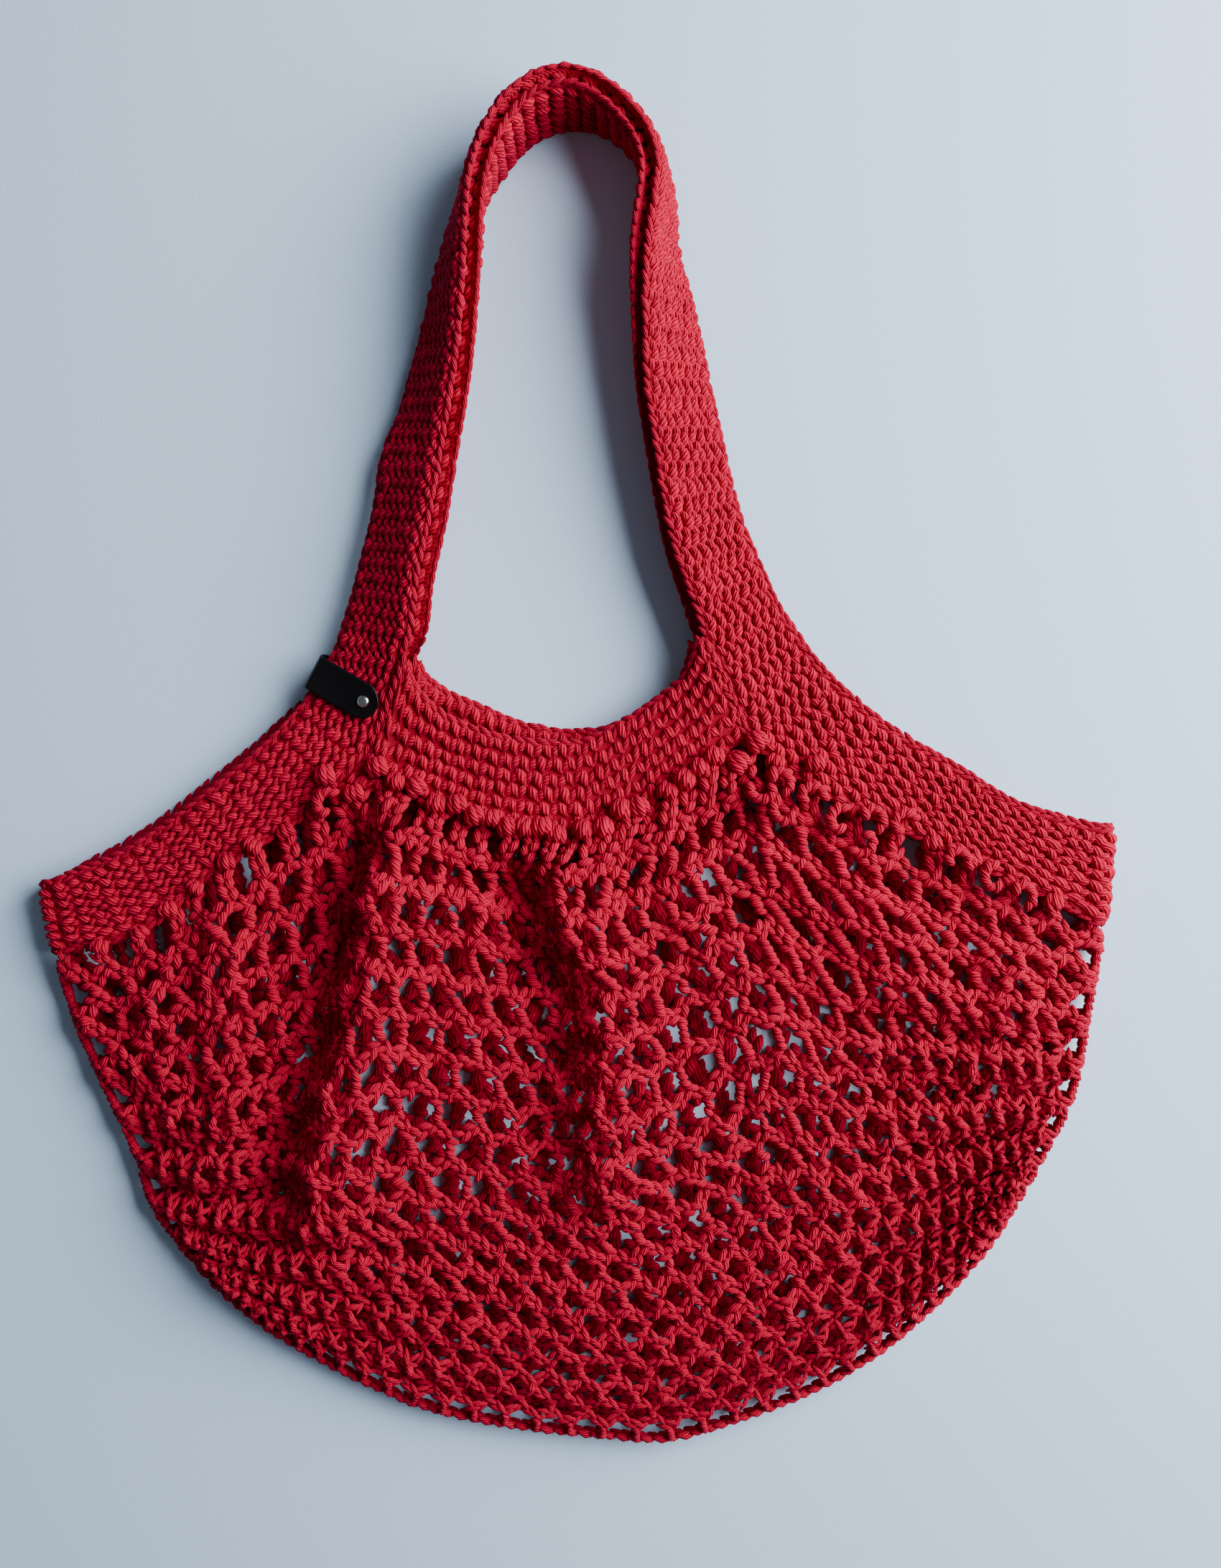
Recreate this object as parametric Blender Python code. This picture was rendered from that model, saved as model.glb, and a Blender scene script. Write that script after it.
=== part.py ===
"""Crocheted mesh market bag, lying flat on its back with its handles laid out above it.

The bag lies on z = 0. Its handles point towards +Y and the seen side is up (+Z).
Every length below is in millimetres, and MM turns it into metres when a mesh is made.
Seven pieces make the bag: the front and the back of the net, which meet along the middle of
the fold round its outline, one strap that runs round as a closed band (both handles and both
side bands), a yoke that closes the strap's opening on each side, and a leather label riveted
round the strap.
"""
import math

import bpy
import numpy as np

MM = 0.001
# Puts the middle of the bag's length and width on the origin.
CENTRE_SHIFT = (0.17, 0.65, 0.0)

STRAP_THICK = 5.5
NET_THICK = 5.0
# Clearances: strap to yoke at the foot and at the rim, strap to net, yoke to net.
SEAM_GAP = 1.2
SEAM_GAP_AT_RIM = 2.3
NET_GAP = 1.4
NET_GAP_BELOW_YOKE = 1.5
# Clearance between the front and the back of the net, and how far above the middle of the
# fold round the outline they meet.
NET_HALVES_GAP = 1.4
NET_HALVES_LIFT = 0.1
# Width of the bevel that stands for the rounded edge of a crocheted band.
EDGE_ROUND = 1.5

# Heights of the middle of each layer above the table.
BACK_STRAP_Z = STRAP_THICK / 2
FRONT_Z = 13.25
BACK_NET_Z = NET_THICK / 2

# Raised rows of stitches on the front of the side bands.
RIB_PITCH = 7.2
RIB_RISE = 0.8
FOLD_ANGLES = (45.0, 90.0, 135.0)
HALF_FOLD_ANGLES = (45.0, 90.0)

# The net's cells: rows of six-sided gaps, each row shifted by half a column.
NET_COLUMNS = 15
NET_ROWS = 9
BAR_WIDTH = 9.2
ZIGZAG = 0.2
SMALLEST_GAP = 4.0
# Half columns of the net that hang from the left band and from the yoke.
LEFT_BAND_STEPS = 8
YOKE_STEPS = 13

YOKE_LENGTH = 190.0
YOKE_DEPTH = 40.0
YOKE_COLUMNS = 18
YOKE_ROWS = 6
YOKE_ROW_RISE = 0.5
# How fast the bend of a yoke's ends fades towards its middle.
END_FADE = 8

LABEL_LENGTH = 29.0
LABEL_WIDTH = 16.0
LABEL_THICK = 1.8
LABEL_GAP = 0.6
LABEL_FOLD_REACH = 2.8
RIVET_FROM_END = 6.7
RIVET_HEAD_RADIUS = 2.7
RIVET_HEAD_HEIGHT = 1.3
RIVET_FOOT_RADIUS = 2.3
RIVET_FOOT_HEIGHT = 0.9
RIVET_SEAT_GAP = 0.5
RIVET_POST_RADIUS = 1.2
RIVET_HOLE_RADIUS = 1.6

# The front of the strap, from the left corner over the handle to the right corner.
# Each row is a line across the band. Columns: outer edge x and y, inner edge x and y, how much
# higher the inner edge lies, gap to the strap beneath, how far the strap beneath peeks out.
FRONT_STRAP = (
    (-229.3, -49.1, -223.6, -80.4, 0, 5, 0),
    (-219, -44.7, -209, -78, 0, 5, 2),
    (-202, -38, -186, -69.5, 0, 5, 4),
    (-180, -24.5, -161, -48.5, 0, 5, 4.5),
    (-157, -6.5, -135.5, -32.5, 0, 5, 4.5),
    (-141.5, 6, -117.5, -20, 0, 5, 4.5),
    (-125.5, 21.5, -99.5, -2, 0, 5, 4),
    (-117, 31.5, -89.5, 10.5, 1, 5, 2.5),
    (-112, 41, -83.5, 24.5, 4.5, 5, 1.5),
    (-106, 51, -76, 43.5, 12, 5, 1),
    (-101.5, 65, -70.5, 57, 20, 4, 0),
    (-95.5, 87.5, -67, 80.5, 24, 3, 0),
    (-89.5, 112, -61.5, 106, 25, 3, 0),
    (-84, 142, -56.5, 135, 25.5, 2.5, 0),
    (-78.5, 155, -54, 148.5, 28.5, 2, 0),
    (-73.5, 173, -51, 166.5, 30, 1.5, 0),
    (-68, 193.5, -48.5, 188.5, 32.5, 1, 0),
    (-63, 214, -47, 209.5, 34.5, 0.8, 0),
    (-57.5, 233, -46, 230, 36, 0.6, 0),
    (-50.5, 249.5, -44.5, 247.5, 37.3, 0.6, 0),
    (-40, 265.5, -39.2, 266, 37.9, 0.6, 0),
    (-29.5, 278.5, -30.3, 280.4, 38, 0.6, 0),
    (-16.5, 287, -17.3, 290.2, 38, 0.6, 0),
    (-2.5, 290.5, -3, 293, 38, 0.6, 0),
    (12.5, 288.8, 12, 287.4, 38, 0.6, 0),
    (24.5, 281.5, 22.5, 278, 37.7, 0.6, 0),
    (33.5, 271.5, 29.5, 268.5, 37.5, 0.6, 0),
    (39.5, 259.5, 33.5, 257, 37.4, 0.6, 0),
    (42.5, 245, 33, 243.5, 36.8, 0.6, 0),
    (44, 227.5, 30, 224.5, 35.5, 0.6, 0),
    (49.5, 209, 28.5, 203.5, 31, 0.6, 0.5),
    (54.5, 187, 28.6, 182, 27.5, 0.7, 1),
    (58, 169, 29.4, 163, 24, 0.8, 1),
    (63, 146.5, 33, 139.5, 22.5, 1, 1),
    (67, 128, 36, 120, 19.5, 1.2, 1),
    (74, 104, 42, 92.5, 16.5, 2, 0.5),
    (82, 85.5, 50, 70.5, 14.5, 3, 0),
    (87.5, 72.5, 55, 56, 11.5, 4, 0),
    (96, 59, 65, 36.5, 5, 5, 0),
    (106.5, 45, 74.5, 14.5, 0.5, 5, 0),
    (120, 31.5, 88.5, 0, 0, 5, 0),
    (133, 21, 105.5, -11, 0, 5, 0),
    (149, 10.5, 128, -22, 0, 5, 0),
    (168.5, -0.5, 151, -32, 0, 5, 0),
    (186, -12, 170.5, -41, 0, 5, 0),
    (201.5, -18, 189.5, -50.5, 0, 5, 0),
    (218.5, -23, 209, -59, 0, 5, 0),
    (228.7, -24.8, 225.2, -68, 0, 5, 0),
)
# Places along the strap, as row numbers of the table above.
LABEL_ROW = 8.0
RIBS_END_LEFT = 6.5
RIBS_START_RIGHT = 39.0
YOKE_TOP_LEFT = 9.25
YOKE_FOOT_LEFT = 5.75
YOKE_TOP_RIGHT = 37.0
YOKE_FOOT_RIGHT = 39.0
# Steps between the strap's cross-sections. Columns: row where the step starts, step.
FRONT_STEPS = ((0, RIB_PITCH / 2), (10, 8), (36, RIB_PITCH / 2))
BACK_STEPS = ((0, 9), (5, 3.6), (10, 9), (36, 3.6), (40, 9))

# Rims and feet of the yokes between the strap's inner edges. Columns: x, y, z of the mid-surface.
FRONT_NECKLINE = (
    (-71, 37.5, 19.5), (-64.5, 28.5, 16), (-53, 20.5, 14.3), (-41.5, 16, 13.7), (-30, 13, 13.3),
    (-17, 11.5, 13.25), (-4, 11, 13.25), (5, 12.5, 13.25), (13.5, 17, 13.3), (23, 22, 13.7),
    (35, 30, 15), (47, 40.5, 18),
)
BACK_NECKLINE = (
    (-65.5, 40.5, 9.5), (-57, 34, 5.5), (-43.5, 28, 3.4), (-28, 21, 2.75), (-13, 17.5, 2.75),
    (-1, 16.5, 2.75), (11, 17.5, 2.75), (21, 20.5, 2.75), (33.5, 28, 3.6), (46, 38.5, 7),
)
YOKE_FOOT = (
    (-87.5, -10), (-70.5, -12.5), (-52.5, -19), (-30.5, -25), (-9, -27.5), (11.5, -24.5),
    (27.5, -16.5), (46.5, -4.5), (60, 5),
)

# The net's outline as seen from above, from the left corner round the bottom to the right corner.
NET_OUTLINE = (
    (-231.5, -84), (-224, -108), (-217.5, -124), (-204.5, -152), (-196, -170), (-189.5, -192.5),
    (-175, -213), (-159, -231), (-140, -246), (-119, -259), (-94, -272), (-67, -283),
    (-41, -289), (-14, -293), (12, -295.5), (38.5, -297), (67.5, -289.5), (95, -279.5),
    (129, -261.5), (159, -237), (185.5, -207), (192.5, -196), (207.5, -170.5), (218.5, -148.5),
    (227, -107.5), (233, -71),
)
# Rows of that outline at which the net's lower left and lower right corners lie.
NET_CORNER_LEFT = 7
NET_CORNER_RIGHT = 21

# Soft folds in the front layer. Columns: three points of the crest, height, width of the left
# slope, width of the right slope.
NET_FOLDS = (
    ((-185, -81), (-182, -127), (-159, -180), 4, 10, 14),
    ((-156, -53), (-152, -109), (-150, -165), 7, 9, 12),
    ((-80, -22), (-94, -112), (-112, -180), 15, 10, 24),
    ((-50, -25), (-50, -87), (-47, -133), 4, 12, 14),
    ((-18, -30), (14, -102), (11, -171), 12, 10, 20),
    ((24, -20), (61, -81), (86, -127), 5, 12, 16),
    ((61, 0), (117, -56), (151, -96), 5, 12, 16),
    ((163, -37), (191, -87), (185, -133), 4, 12, 14),
)


def unit(vectors):
    """Return vectors, one a row, scaled to length 1."""
    lengths = np.linalg.norm(vectors, axis=-1, keepdims=True)
    return vectors / np.maximum(lengths, 1e-9)


def chord_knots(points):
    """Return the running length along a row of points."""
    steps = np.linalg.norm(np.diff(points, axis=0), axis=1)
    return np.concatenate([[0.0], np.cumsum(steps)])


def smooth(rows, knots, places):
    """Return a smooth curve through rows, whose places are knots, read at places."""
    rows = np.asarray(rows, float)
    knots = np.asarray(knots, float)
    places = np.clip(np.asarray(places, float), knots[0], knots[-1])
    slopes = np.gradient(rows, knots, axis=0)
    index = np.clip(np.searchsorted(knots, places, side="right") - 1, 0, len(knots) - 2)
    span = (knots[index + 1] - knots[index])[..., None]
    t = (places - knots[index])[..., None] / span
    start = (1 + 2 * t) * (1 - t) ** 2 * rows[index] + t * (1 - t) ** 2 * span * slopes[index]
    end = t * t * (3 - 2 * t) * rows[index + 1] - t * t * (1 - t) * span * slopes[index + 1]
    return start + end


def resample(points, count):
    """Return count points evenly spaced along a smooth curve through points."""
    points = np.asarray(points, float)
    knots = chord_knots(points)
    return smooth(points, knots, np.linspace(0.0, knots[-1], count))


STRAP_TABLE = np.array(FRONT_STRAP, float)
STRAP_MIDDLE = (STRAP_TABLE[:, 0:2] + STRAP_TABLE[:, 2:4]) / 2
STRAP_KNOTS = chord_knots(STRAP_MIDDLE)


def row_place(row):
    """Return the length along the strap at a row number of its table."""
    return float(np.interp(row, np.arange(len(STRAP_KNOTS)), STRAP_KNOTS))


def front_edges(places):
    """Return the outer edge, inner edge, gap and peek of the front strap at lengths along it."""
    rows = smooth(STRAP_TABLE, STRAP_KNOTS, places)
    run = np.hypot(rows[:, 2] - rows[:, 0], rows[:, 3] - rows[:, 1])
    lean = run / np.hypot(run, rows[:, 4])
    low = np.maximum(0.3, (1.5 * STRAP_THICK + rows[:, 5]) * lean)
    outer = np.column_stack([rows[:, 0], rows[:, 1], low])
    inner = np.column_stack([rows[:, 2], rows[:, 3], low + rows[:, 4]])
    return outer, inner, rows[:, 5], rows[:, 6]


def front_strap(places):
    """Return outer edge, inner edge, upward normal, gap and peek at lengths along the strap."""
    places = np.asarray(places, float)
    outer, inner, gap, peek = front_edges(places)
    ahead = front_edges(places + 0.5)
    behind = front_edges(places - 0.5)
    along = (ahead[0] + ahead[1]) - (behind[0] + behind[1])
    normal = unit(np.cross(inner - outer, along))
    return outer, inner, normal, gap, peek


def back_strap(places):
    """Return outer edge, inner edge and upward normal of the strap that lies beneath."""
    outer, inner, normal, gap, peek = front_strap(places)
    shift = -normal * (STRAP_THICK + gap)[:, None] - unit(inner - outer) * peek[:, None]
    return outer + shift, inner + shift, normal


def mesh_object(name, points, faces, colour, roughness, metallic=0.0):
    """Make one closed object from points in millimetres and faces, with its own material."""
    mesh = bpy.data.meshes.new(name)
    points = np.array(points, float) + CENTRE_SHIFT
    points[:, 2] = np.maximum(points[:, 2], 0.0)
    mesh.from_pydata([tuple(p * MM) for p in points], [], faces)
    mesh.update()
    piece = bpy.data.objects.new(name, mesh)
    bpy.context.collection.objects.link(piece)
    material = bpy.data.materials.new(name)
    material.use_nodes = True
    shader = material.node_tree.nodes["Principled BSDF"]
    shader.inputs["Base Color"].default_value = (*colour, 1.0)
    shader.inputs["Roughness"].default_value = roughness
    shader.inputs["Metallic"].default_value = metallic
    mesh.materials.append(material)
    bpy.context.view_layer.objects.active = piece
    piece.select_set(True)
    bpy.ops.object.mode_set(mode="EDIT")
    bpy.ops.mesh.select_all(action="SELECT")
    bpy.ops.mesh.normals_make_consistent(inside=False)
    bpy.ops.object.mode_set(mode="OBJECT")
    piece.select_set(False)
    mesh.shade_smooth()
    mesh.set_sharp_from_angle(angle=math.radians(40))
    return piece


def band_section(outer, inner, normal, rise):
    """Return the eight corners of the strap's cross-section, with its outer face raised by rise."""
    across = inner - outer
    width = np.linalg.norm(across)
    across = across / width
    half = STRAP_THICK / 2
    corners = (
        (0.0, -half + EDGE_ROUND), (EDGE_ROUND, -half), (width - EDGE_ROUND, -half),
        (width, -half + EDGE_ROUND), (width, half - EDGE_ROUND), (width - EDGE_ROUND, half + rise),
        (EDGE_ROUND, half + rise), (0.0, half - EDGE_ROUND),
    )
    return [outer + across * s + normal * level for s, level in corners]


def corner_fold(outer, inner, side):
    """Return the sections where the strap turns over at a corner, from the front to the back."""
    across = unit(inner - outer)
    outward = side * np.cross((0.0, 0.0, 1.0), across)
    radius = (FRONT_Z - BACK_STRAP_Z) / 2
    sections = []
    for angle in FOLD_ANGLES:
        turn = math.radians(angle)
        normal = outward * math.sin(turn) + np.array((0.0, 0.0, math.cos(turn)))
        shift = normal * radius - np.array((0.0, 0.0, radius))
        sections.append(band_section(outer + shift, inner + shift, normal, 0.0))
    return sections


def strap_places(steps):
    """Return places along the strap, in runs that each start at a row and keep about one step."""
    rows = [row for row, _ in steps] + [len(STRAP_KNOTS) - 1]
    runs = []
    for (row, step), next_row in zip(steps, rows[1:]):
        start, end = row_place(row), row_place(next_row)
        runs.append(np.linspace(start, end, int(round((end - start) / step)), endpoint=False))
    return np.append(np.concatenate(runs), STRAP_KNOTS[-1])


def make_strap():
    """Make the strap: one closed band of handles and side bands, folded at both corners."""
    places = strap_places(FRONT_STEPS)
    ribbed = (places < row_place(RIBS_END_LEFT)) | (places > row_place(RIBS_START_RIGHT))
    rises = RIB_RISE * ribbed * (np.arange(len(places)) % 2)
    outer, inner, normal = front_strap(places)[:3]
    sections = [band_section(o, i, n, r) for o, i, n, r in zip(outer, inner, normal, rises)]
    sections += corner_fold(outer[-1], inner[-1], 1.0)
    under = back_strap(strap_places(BACK_STEPS)[::-1])
    sections += [band_section(o, i, -n, 0.0) for o, i, n in zip(*under)]
    sections += corner_fold(outer[0], inner[0], -1.0)[::-1]
    count = len(sections)
    faces = []
    for index in range(count):
        after = (index + 1) % count
        for side in range(8):
            follow = (side + 1) % 8
            faces.append((index * 8 + side, index * 8 + follow, after * 8 + follow, after * 8 + side))
    points = [corner for section in sections for corner in section]
    return mesh_object("strap_loop", points, faces, (0.45, 0.012, 0.035), 0.85)


def fill_edges(top, foot, left, right, across, down):
    """Return the grid of points that fills four edges, read at the shares across and down.

    The grid is ruled from top to foot. The bend of each end edge fades quickly inward.
    """
    u = np.asarray(across)[:, None, None]
    v = np.asarray(down)[None, :, None]
    ruled = (1 - v) * top[:, None, :] + v * foot[:, None, :]
    left_bend = left[None, :, :] - ((1 - v) * left[0] + v * left[-1])
    right_bend = right[None, :, :] - ((1 - v) * right[0] + v * right[-1])
    return ruled + (1 - u) ** END_FADE * left_bend + u ** END_FADE * right_bend


def seam_points(strap, top_row, foot_row, shares):
    """Return points just clear of the strap's inner edge, from a yoke's rim to its foot."""
    places = row_place(top_row) + (row_place(foot_row) - row_place(top_row)) * np.asarray(shares)
    outer, inner = strap(places)[:2]
    gap = SEAM_GAP_AT_RIM + (SEAM_GAP - SEAM_GAP_AT_RIM) * np.asarray(shares)[:, None]
    return inner + unit(inner - outer) * gap


def even_shares(count, length):
    """Return shares from 0 to 1 with an extra one just inside each end, for a thin rounded edge."""
    edge = EDGE_ROUND / length
    return np.concatenate([[0.0], np.linspace(edge, 1.0 - edge, count), [1.0]])


def curve_at(points, shares):
    """Return points at shares of the length of a smooth curve."""
    knots = chord_knots(points)
    return smooth(points, knots, np.asarray(shares) * knots[-1])


def make_yoke(name, strap, neckline, foot_z, rows, row_rise):
    """Make the curved panel between the strap's two legs on one side of the bag."""
    across = even_shares(YOKE_COLUMNS, YOKE_LENGTH)
    down = even_shares(rows, YOKE_DEPTH)
    left = seam_points(strap, YOKE_TOP_LEFT, YOKE_FOOT_LEFT, down)
    right = seam_points(strap, YOKE_TOP_RIGHT, YOKE_FOOT_RIGHT, down)
    foot_rows = [(x, y, foot_z) for x, y in YOKE_FOOT]
    top = curve_at(np.array([left[0], *neckline, right[0]]), across)
    foot = curve_at(np.array([left[-1], *foot_rows, right[-1]]), across)
    grid = fill_edges(top, foot, left, right, across, down)
    slope_u = np.gradient(grid, axis=0)
    slope_v = np.gradient(grid, axis=1)
    normal = unit(np.cross(slope_v, slope_u))
    half = np.full(grid.shape[:2], STRAP_THICK / 2)
    half[[0, -1], :] -= EDGE_ROUND
    half[:, [0, -1]] = STRAP_THICK / 2 - EDGE_ROUND
    rise = np.zeros(grid.shape[:2])
    rise[1:-1, 2:-1:2] = row_rise
    over = grid + normal * (half + rise)[:, :, None]
    under = grid - normal * half[:, :, None]
    points, faces = sheet_faces(over, under)
    return mesh_object(name, points, faces, (0.5, 0.014, 0.04), 0.85)


def sheet_faces(over, under):
    """Return the points and faces of the closed sheet between two grids of points."""
    columns, rows = over.shape[:2]
    points = np.concatenate([over.reshape(-1, 3), under.reshape(-1, 3)])
    base = columns * rows
    faces = []
    for i in range(columns - 1):
        for j in range(rows - 1):
            a, b = i * rows + j, (i + 1) * rows + j
            faces.append((a, a + 1, b + 1, b))
            faces.append((base + a, base + b, base + b + 1, base + a + 1))
    rim = [i * rows for i in range(columns)]
    rim += [(columns - 1) * rows + j for j in range(1, rows)]
    rim += [i * rows + rows - 1 for i in range(columns - 2, -1, -1)]
    rim += list(range(rows - 2, 0, -1))
    for start, end in zip(rim, rim[1:] + rim[:1]):
        faces.append((start, end, base + end, base + start))
    return points, faces


def net_top(strap, foot_z):
    """Return the net's top edge: under the left band, under the yoke, under the right band."""
    shares = np.linspace(0.0, 1.0, LEFT_BAND_STEPS + 1)
    left_places = row_place(YOKE_FOOT_LEFT) * shares
    right_steps = 2 * NET_COLUMNS - LEFT_BAND_STEPS - YOKE_STEPS
    start = row_place(YOKE_FOOT_RIGHT)
    right_places = np.linspace(start, STRAP_KNOTS[-1], right_steps + 1)
    outer, inner = strap(left_places)[:2]
    left = inner + unit(inner - outer) * NET_GAP
    outer, inner = strap(right_places)[:2]
    right = inner + unit(inner - outer) * NET_GAP
    down = np.array((0.0, -NET_GAP_BELOW_YOKE, 0.0))
    left[-1] += down
    right[0] += down
    foot_rows = [(x, y - NET_GAP_BELOW_YOKE, foot_z) for x, y in YOKE_FOOT]
    middle = resample([left[-1], *foot_rows, right[0]], YOKE_STEPS + 1)
    top = np.concatenate([left, middle[1:-1], right])
    top[:, 2] = foot_z
    return top


def net_sides(top):
    """Return the net's left, foot and right edges where the layers start to turn over."""
    outline = np.array(NET_OUTLINE, float)
    knots = chord_knots(outline)
    along = unit(np.gradient(outline, knots, axis=0))
    inward = np.column_stack([-along[:, 1], along[:, 0]])
    reach = (FRONT_Z - BACK_NET_Z + NET_THICK) / 2
    edge = outline + inward * reach
    edge = np.concatenate([[top[0, :2]], edge[1:-1], [top[-1, :2]]])
    left = resample(edge[:NET_CORNER_LEFT + 1], NET_ROWS * 4 + 1)
    foot = resample(edge[NET_CORNER_LEFT:NET_CORNER_RIGHT + 1], 2 * NET_COLUMNS + 1)
    right = resample(edge[NET_CORNER_RIGHT:][::-1], NET_ROWS * 4 + 1)
    return left, foot, right


def blend(value):
    """Return a soft step from 0 to 1."""
    value = np.clip(value, 0.0, 1.0)
    return value * value * (3 - 2 * value)


def crest_distance(x, y, crest):
    """Return the distance from a place to a crest line, and the side it is on."""
    best, side = 1e9, 1.0
    for start, end in zip(crest[:-1], crest[1:]):
        ax, ay = end[0] - start[0], end[1] - start[1]
        px, py = x - start[0], y - start[1]
        share = min(1.0, max(0.0, (px * ax + py * ay) / (ax * ax + ay * ay)))
        distance = math.hypot(px - share * ax, py - share * ay)
        if distance < best:
            best = distance
            side = math.copysign(1.0, ax * py - ay * px)
    return best, side


def fold_height(x, y):
    """Return how high the front layer's folds stand at a place."""
    total = 0.0
    for first, middle, last, height, left_width, right_width in NET_FOLDS:
        distance, side = crest_distance(x, y, (first, middle, last))
        width = right_width if side > 0 else left_width
        total += height * math.exp(-(distance / width) ** 2)
    return total


class NetLayer:
    """One layer of the net: places it can be read at, and its height there."""

    def __init__(self, front):
        self.front = front
        strap = front_strap if front else back_strap
        self.level = FRONT_Z if front else BACK_NET_Z
        self.top = net_top(strap, self.level)[:, :2]
        self.left, self.foot, self.right = net_sides(net_top(front_strap, FRONT_Z))
        self.across = np.arange(2 * NET_COLUMNS + 1)
        self.down = np.linspace(0.0, NET_ROWS, NET_ROWS * 4 + 1)

    def plan(self, k, m):
        """Return x and y at half column k and row m."""
        def read(edge, places, value):
            return np.array([np.interp(value, places, edge[:, axis]) for axis in (0, 1)])
        u, v = k / (2 * NET_COLUMNS), m / NET_ROWS
        top, foot = read(self.top, self.across, k), read(self.foot, self.across, k)
        left, right = read(self.left, self.down, m), read(self.right, self.down, m)
        ruled = (1 - v) * top + v * foot + (1 - u) * left + u * right
        corners = (1 - u) * (1 - v) * self.top[0] + u * (1 - v) * self.top[-1]
        corners = corners + (1 - u) * v * self.foot[0] + u * v * self.foot[-1]
        return ruled - corners

    def point(self, k, m):
        """Return the point at half column k and row m, with the zigzag of the row lines."""
        x, y = self.plan(k, m)
        if not self.front:
            return np.array((x, y, self.level))
        edges = blend(m / 0.7) * blend((NET_ROWS - m) / 1.2)
        edges *= blend(k / 2.4) * blend((2 * NET_COLUMNS - k) / 2.4)
        return np.array((x, y, self.level + edges * (0.8 + fold_height(x, y))))

    def knot(self, k, line):
        """Return the crossing at half column k of a row line, pulled towards the bar it holds."""
        if line in (0, NET_ROWS) or k in (0, 2 * NET_COLUMNS):
            return self.point(k, line)
        above = (k + line - 1) % 2 == 0
        return self.point(k, line - ZIGZAG if above else line + ZIGZAG)


def inset_polygon(corners, width):
    """Return the polygon moved inward by width, or None where too little would be left."""
    flat = corners[:, :2]
    edges = unit(np.roll(flat, -1, axis=0) - flat)
    area = np.sum(flat[:, 0] * np.roll(flat[:, 1], -1) - np.roll(flat[:, 0], -1) * flat[:, 1])
    turn = 1.0 if area > 0 else -1.0
    inward = turn * np.column_stack([-edges[:, 1], edges[:, 0]])
    before = np.roll(inward, 1, axis=0)
    scale = 1.0 + np.sum(before * inward, axis=1, keepdims=True)
    moved = flat + (before + inward) / np.maximum(scale, 0.4) * width
    new_edges = np.roll(moved, -1, axis=0) - moved
    if np.any(np.sum(new_edges * edges, axis=1) < 0.8):
        return None
    spans = [np.ptp(moved @ np.array((math.cos(a), math.sin(a)))) for a in np.linspace(0, np.pi, 13)]
    return moved if min(spans) > SMALLEST_GAP else None


def net_cells():
    """Return each cell of the net as its crossings (half column, row line), in order round it."""
    cells = []
    for row in range(NET_ROWS):
        first = row % 2
        for k in range(first, 2 * NET_COLUMNS - 1, 2):
            cells.append([(k, row), (k + 1, row), (k + 2, row),
                          (k + 2, row + 1), (k + 1, row + 1), (k, row + 1)])
        if first:
            for k in (0, 2 * NET_COLUMNS - 1):
                cells.append([(k, row), (k + 1, row), (k + 1, row + 1), (k, row + 1)])
    return cells


class Sheet:
    """A mid-surface under construction: its points, and its faces by point number."""

    def __init__(self):
        self.points = []
        self.faces = []
        self.known = {}
        self.edge_normals = {}

    def add(self, point):
        """Add a point and return its number."""
        self.points.append(np.array(point, float))
        return len(self.points) - 1

    def shared(self, key, point):
        """Return the number of the point that neighbouring cells share under a key."""
        if key not in self.known:
            self.known[key] = self.add(point)
        return self.known[key]

    def solid(self, thickness):
        """Return the points and faces of the sheet with its thickness."""
        points = np.array(self.points)
        normals = np.zeros_like(points)
        for face in self.faces:
            corners = points[list(face)]
            follow = np.roll(corners, -1, axis=0)
            normals[list(face)] += np.sum(np.cross(corners, follow), axis=0)
        normals = unit(normals)
        for index, normal in self.edge_normals.items():
            normals[index] = normal
        base = len(points)
        solid = np.concatenate([points + normals * thickness / 2, points - normals * thickness / 2])
        faces = [tuple(face) for face in self.faces]
        faces += [tuple(base + index for index in reversed(face)) for face in self.faces]
        sides = {(a, b) for face in self.faces for a, b in zip(face, face[1:] + face[:1])}
        faces += [(b, a, base + a, base + b) for a, b in sides if (b, a) not in sides]
        return solid, faces


def add_layer(sheet, layer):
    """Add one layer of the net to the sheet: a ring of bars round each gap."""
    side = "front" if layer.front else "back"
    for number, cell in enumerate(net_cells()):
        corners = np.array([layer.knot(k, line) for k, line in cell])
        ring = [sheet.shared((side, *key), corner) for key, corner in zip(cell, corners)]
        centre_k = np.mean([k for k, _ in cell])
        centre = layer.point(centre_k, cell[0][1] + 0.5)
        centre[:2] = corners[:, :2].mean(axis=0)
        hole = inset_polygon(corners, BAR_WIDTH / 2)
        count = len(cell)
        if hole is None:
            middle = sheet.add(centre)
            faces = [[ring[i], ring[(i + 1) % count], middle] for i in range(count)]
        else:
            reach = np.linalg.norm(hole - corners[:, :2], axis=1)
            reach /= np.linalg.norm(centre[:2] - corners[:, :2], axis=1)
            heights = corners[:, 2] + (centre[2] - corners[:, 2]) * np.minimum(reach, 1.0)
            inner = [sheet.add((*place, height)) for place, height in zip(hole, heights)]
            faces = []
            for i in range(count):
                j = (i + 1) % count
                faces.append([ring[i], ring[j], inner[j], inner[i]])
        if layer.front:
            faces = [face[::-1] for face in faces]
        sheet.faces += faces


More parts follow.
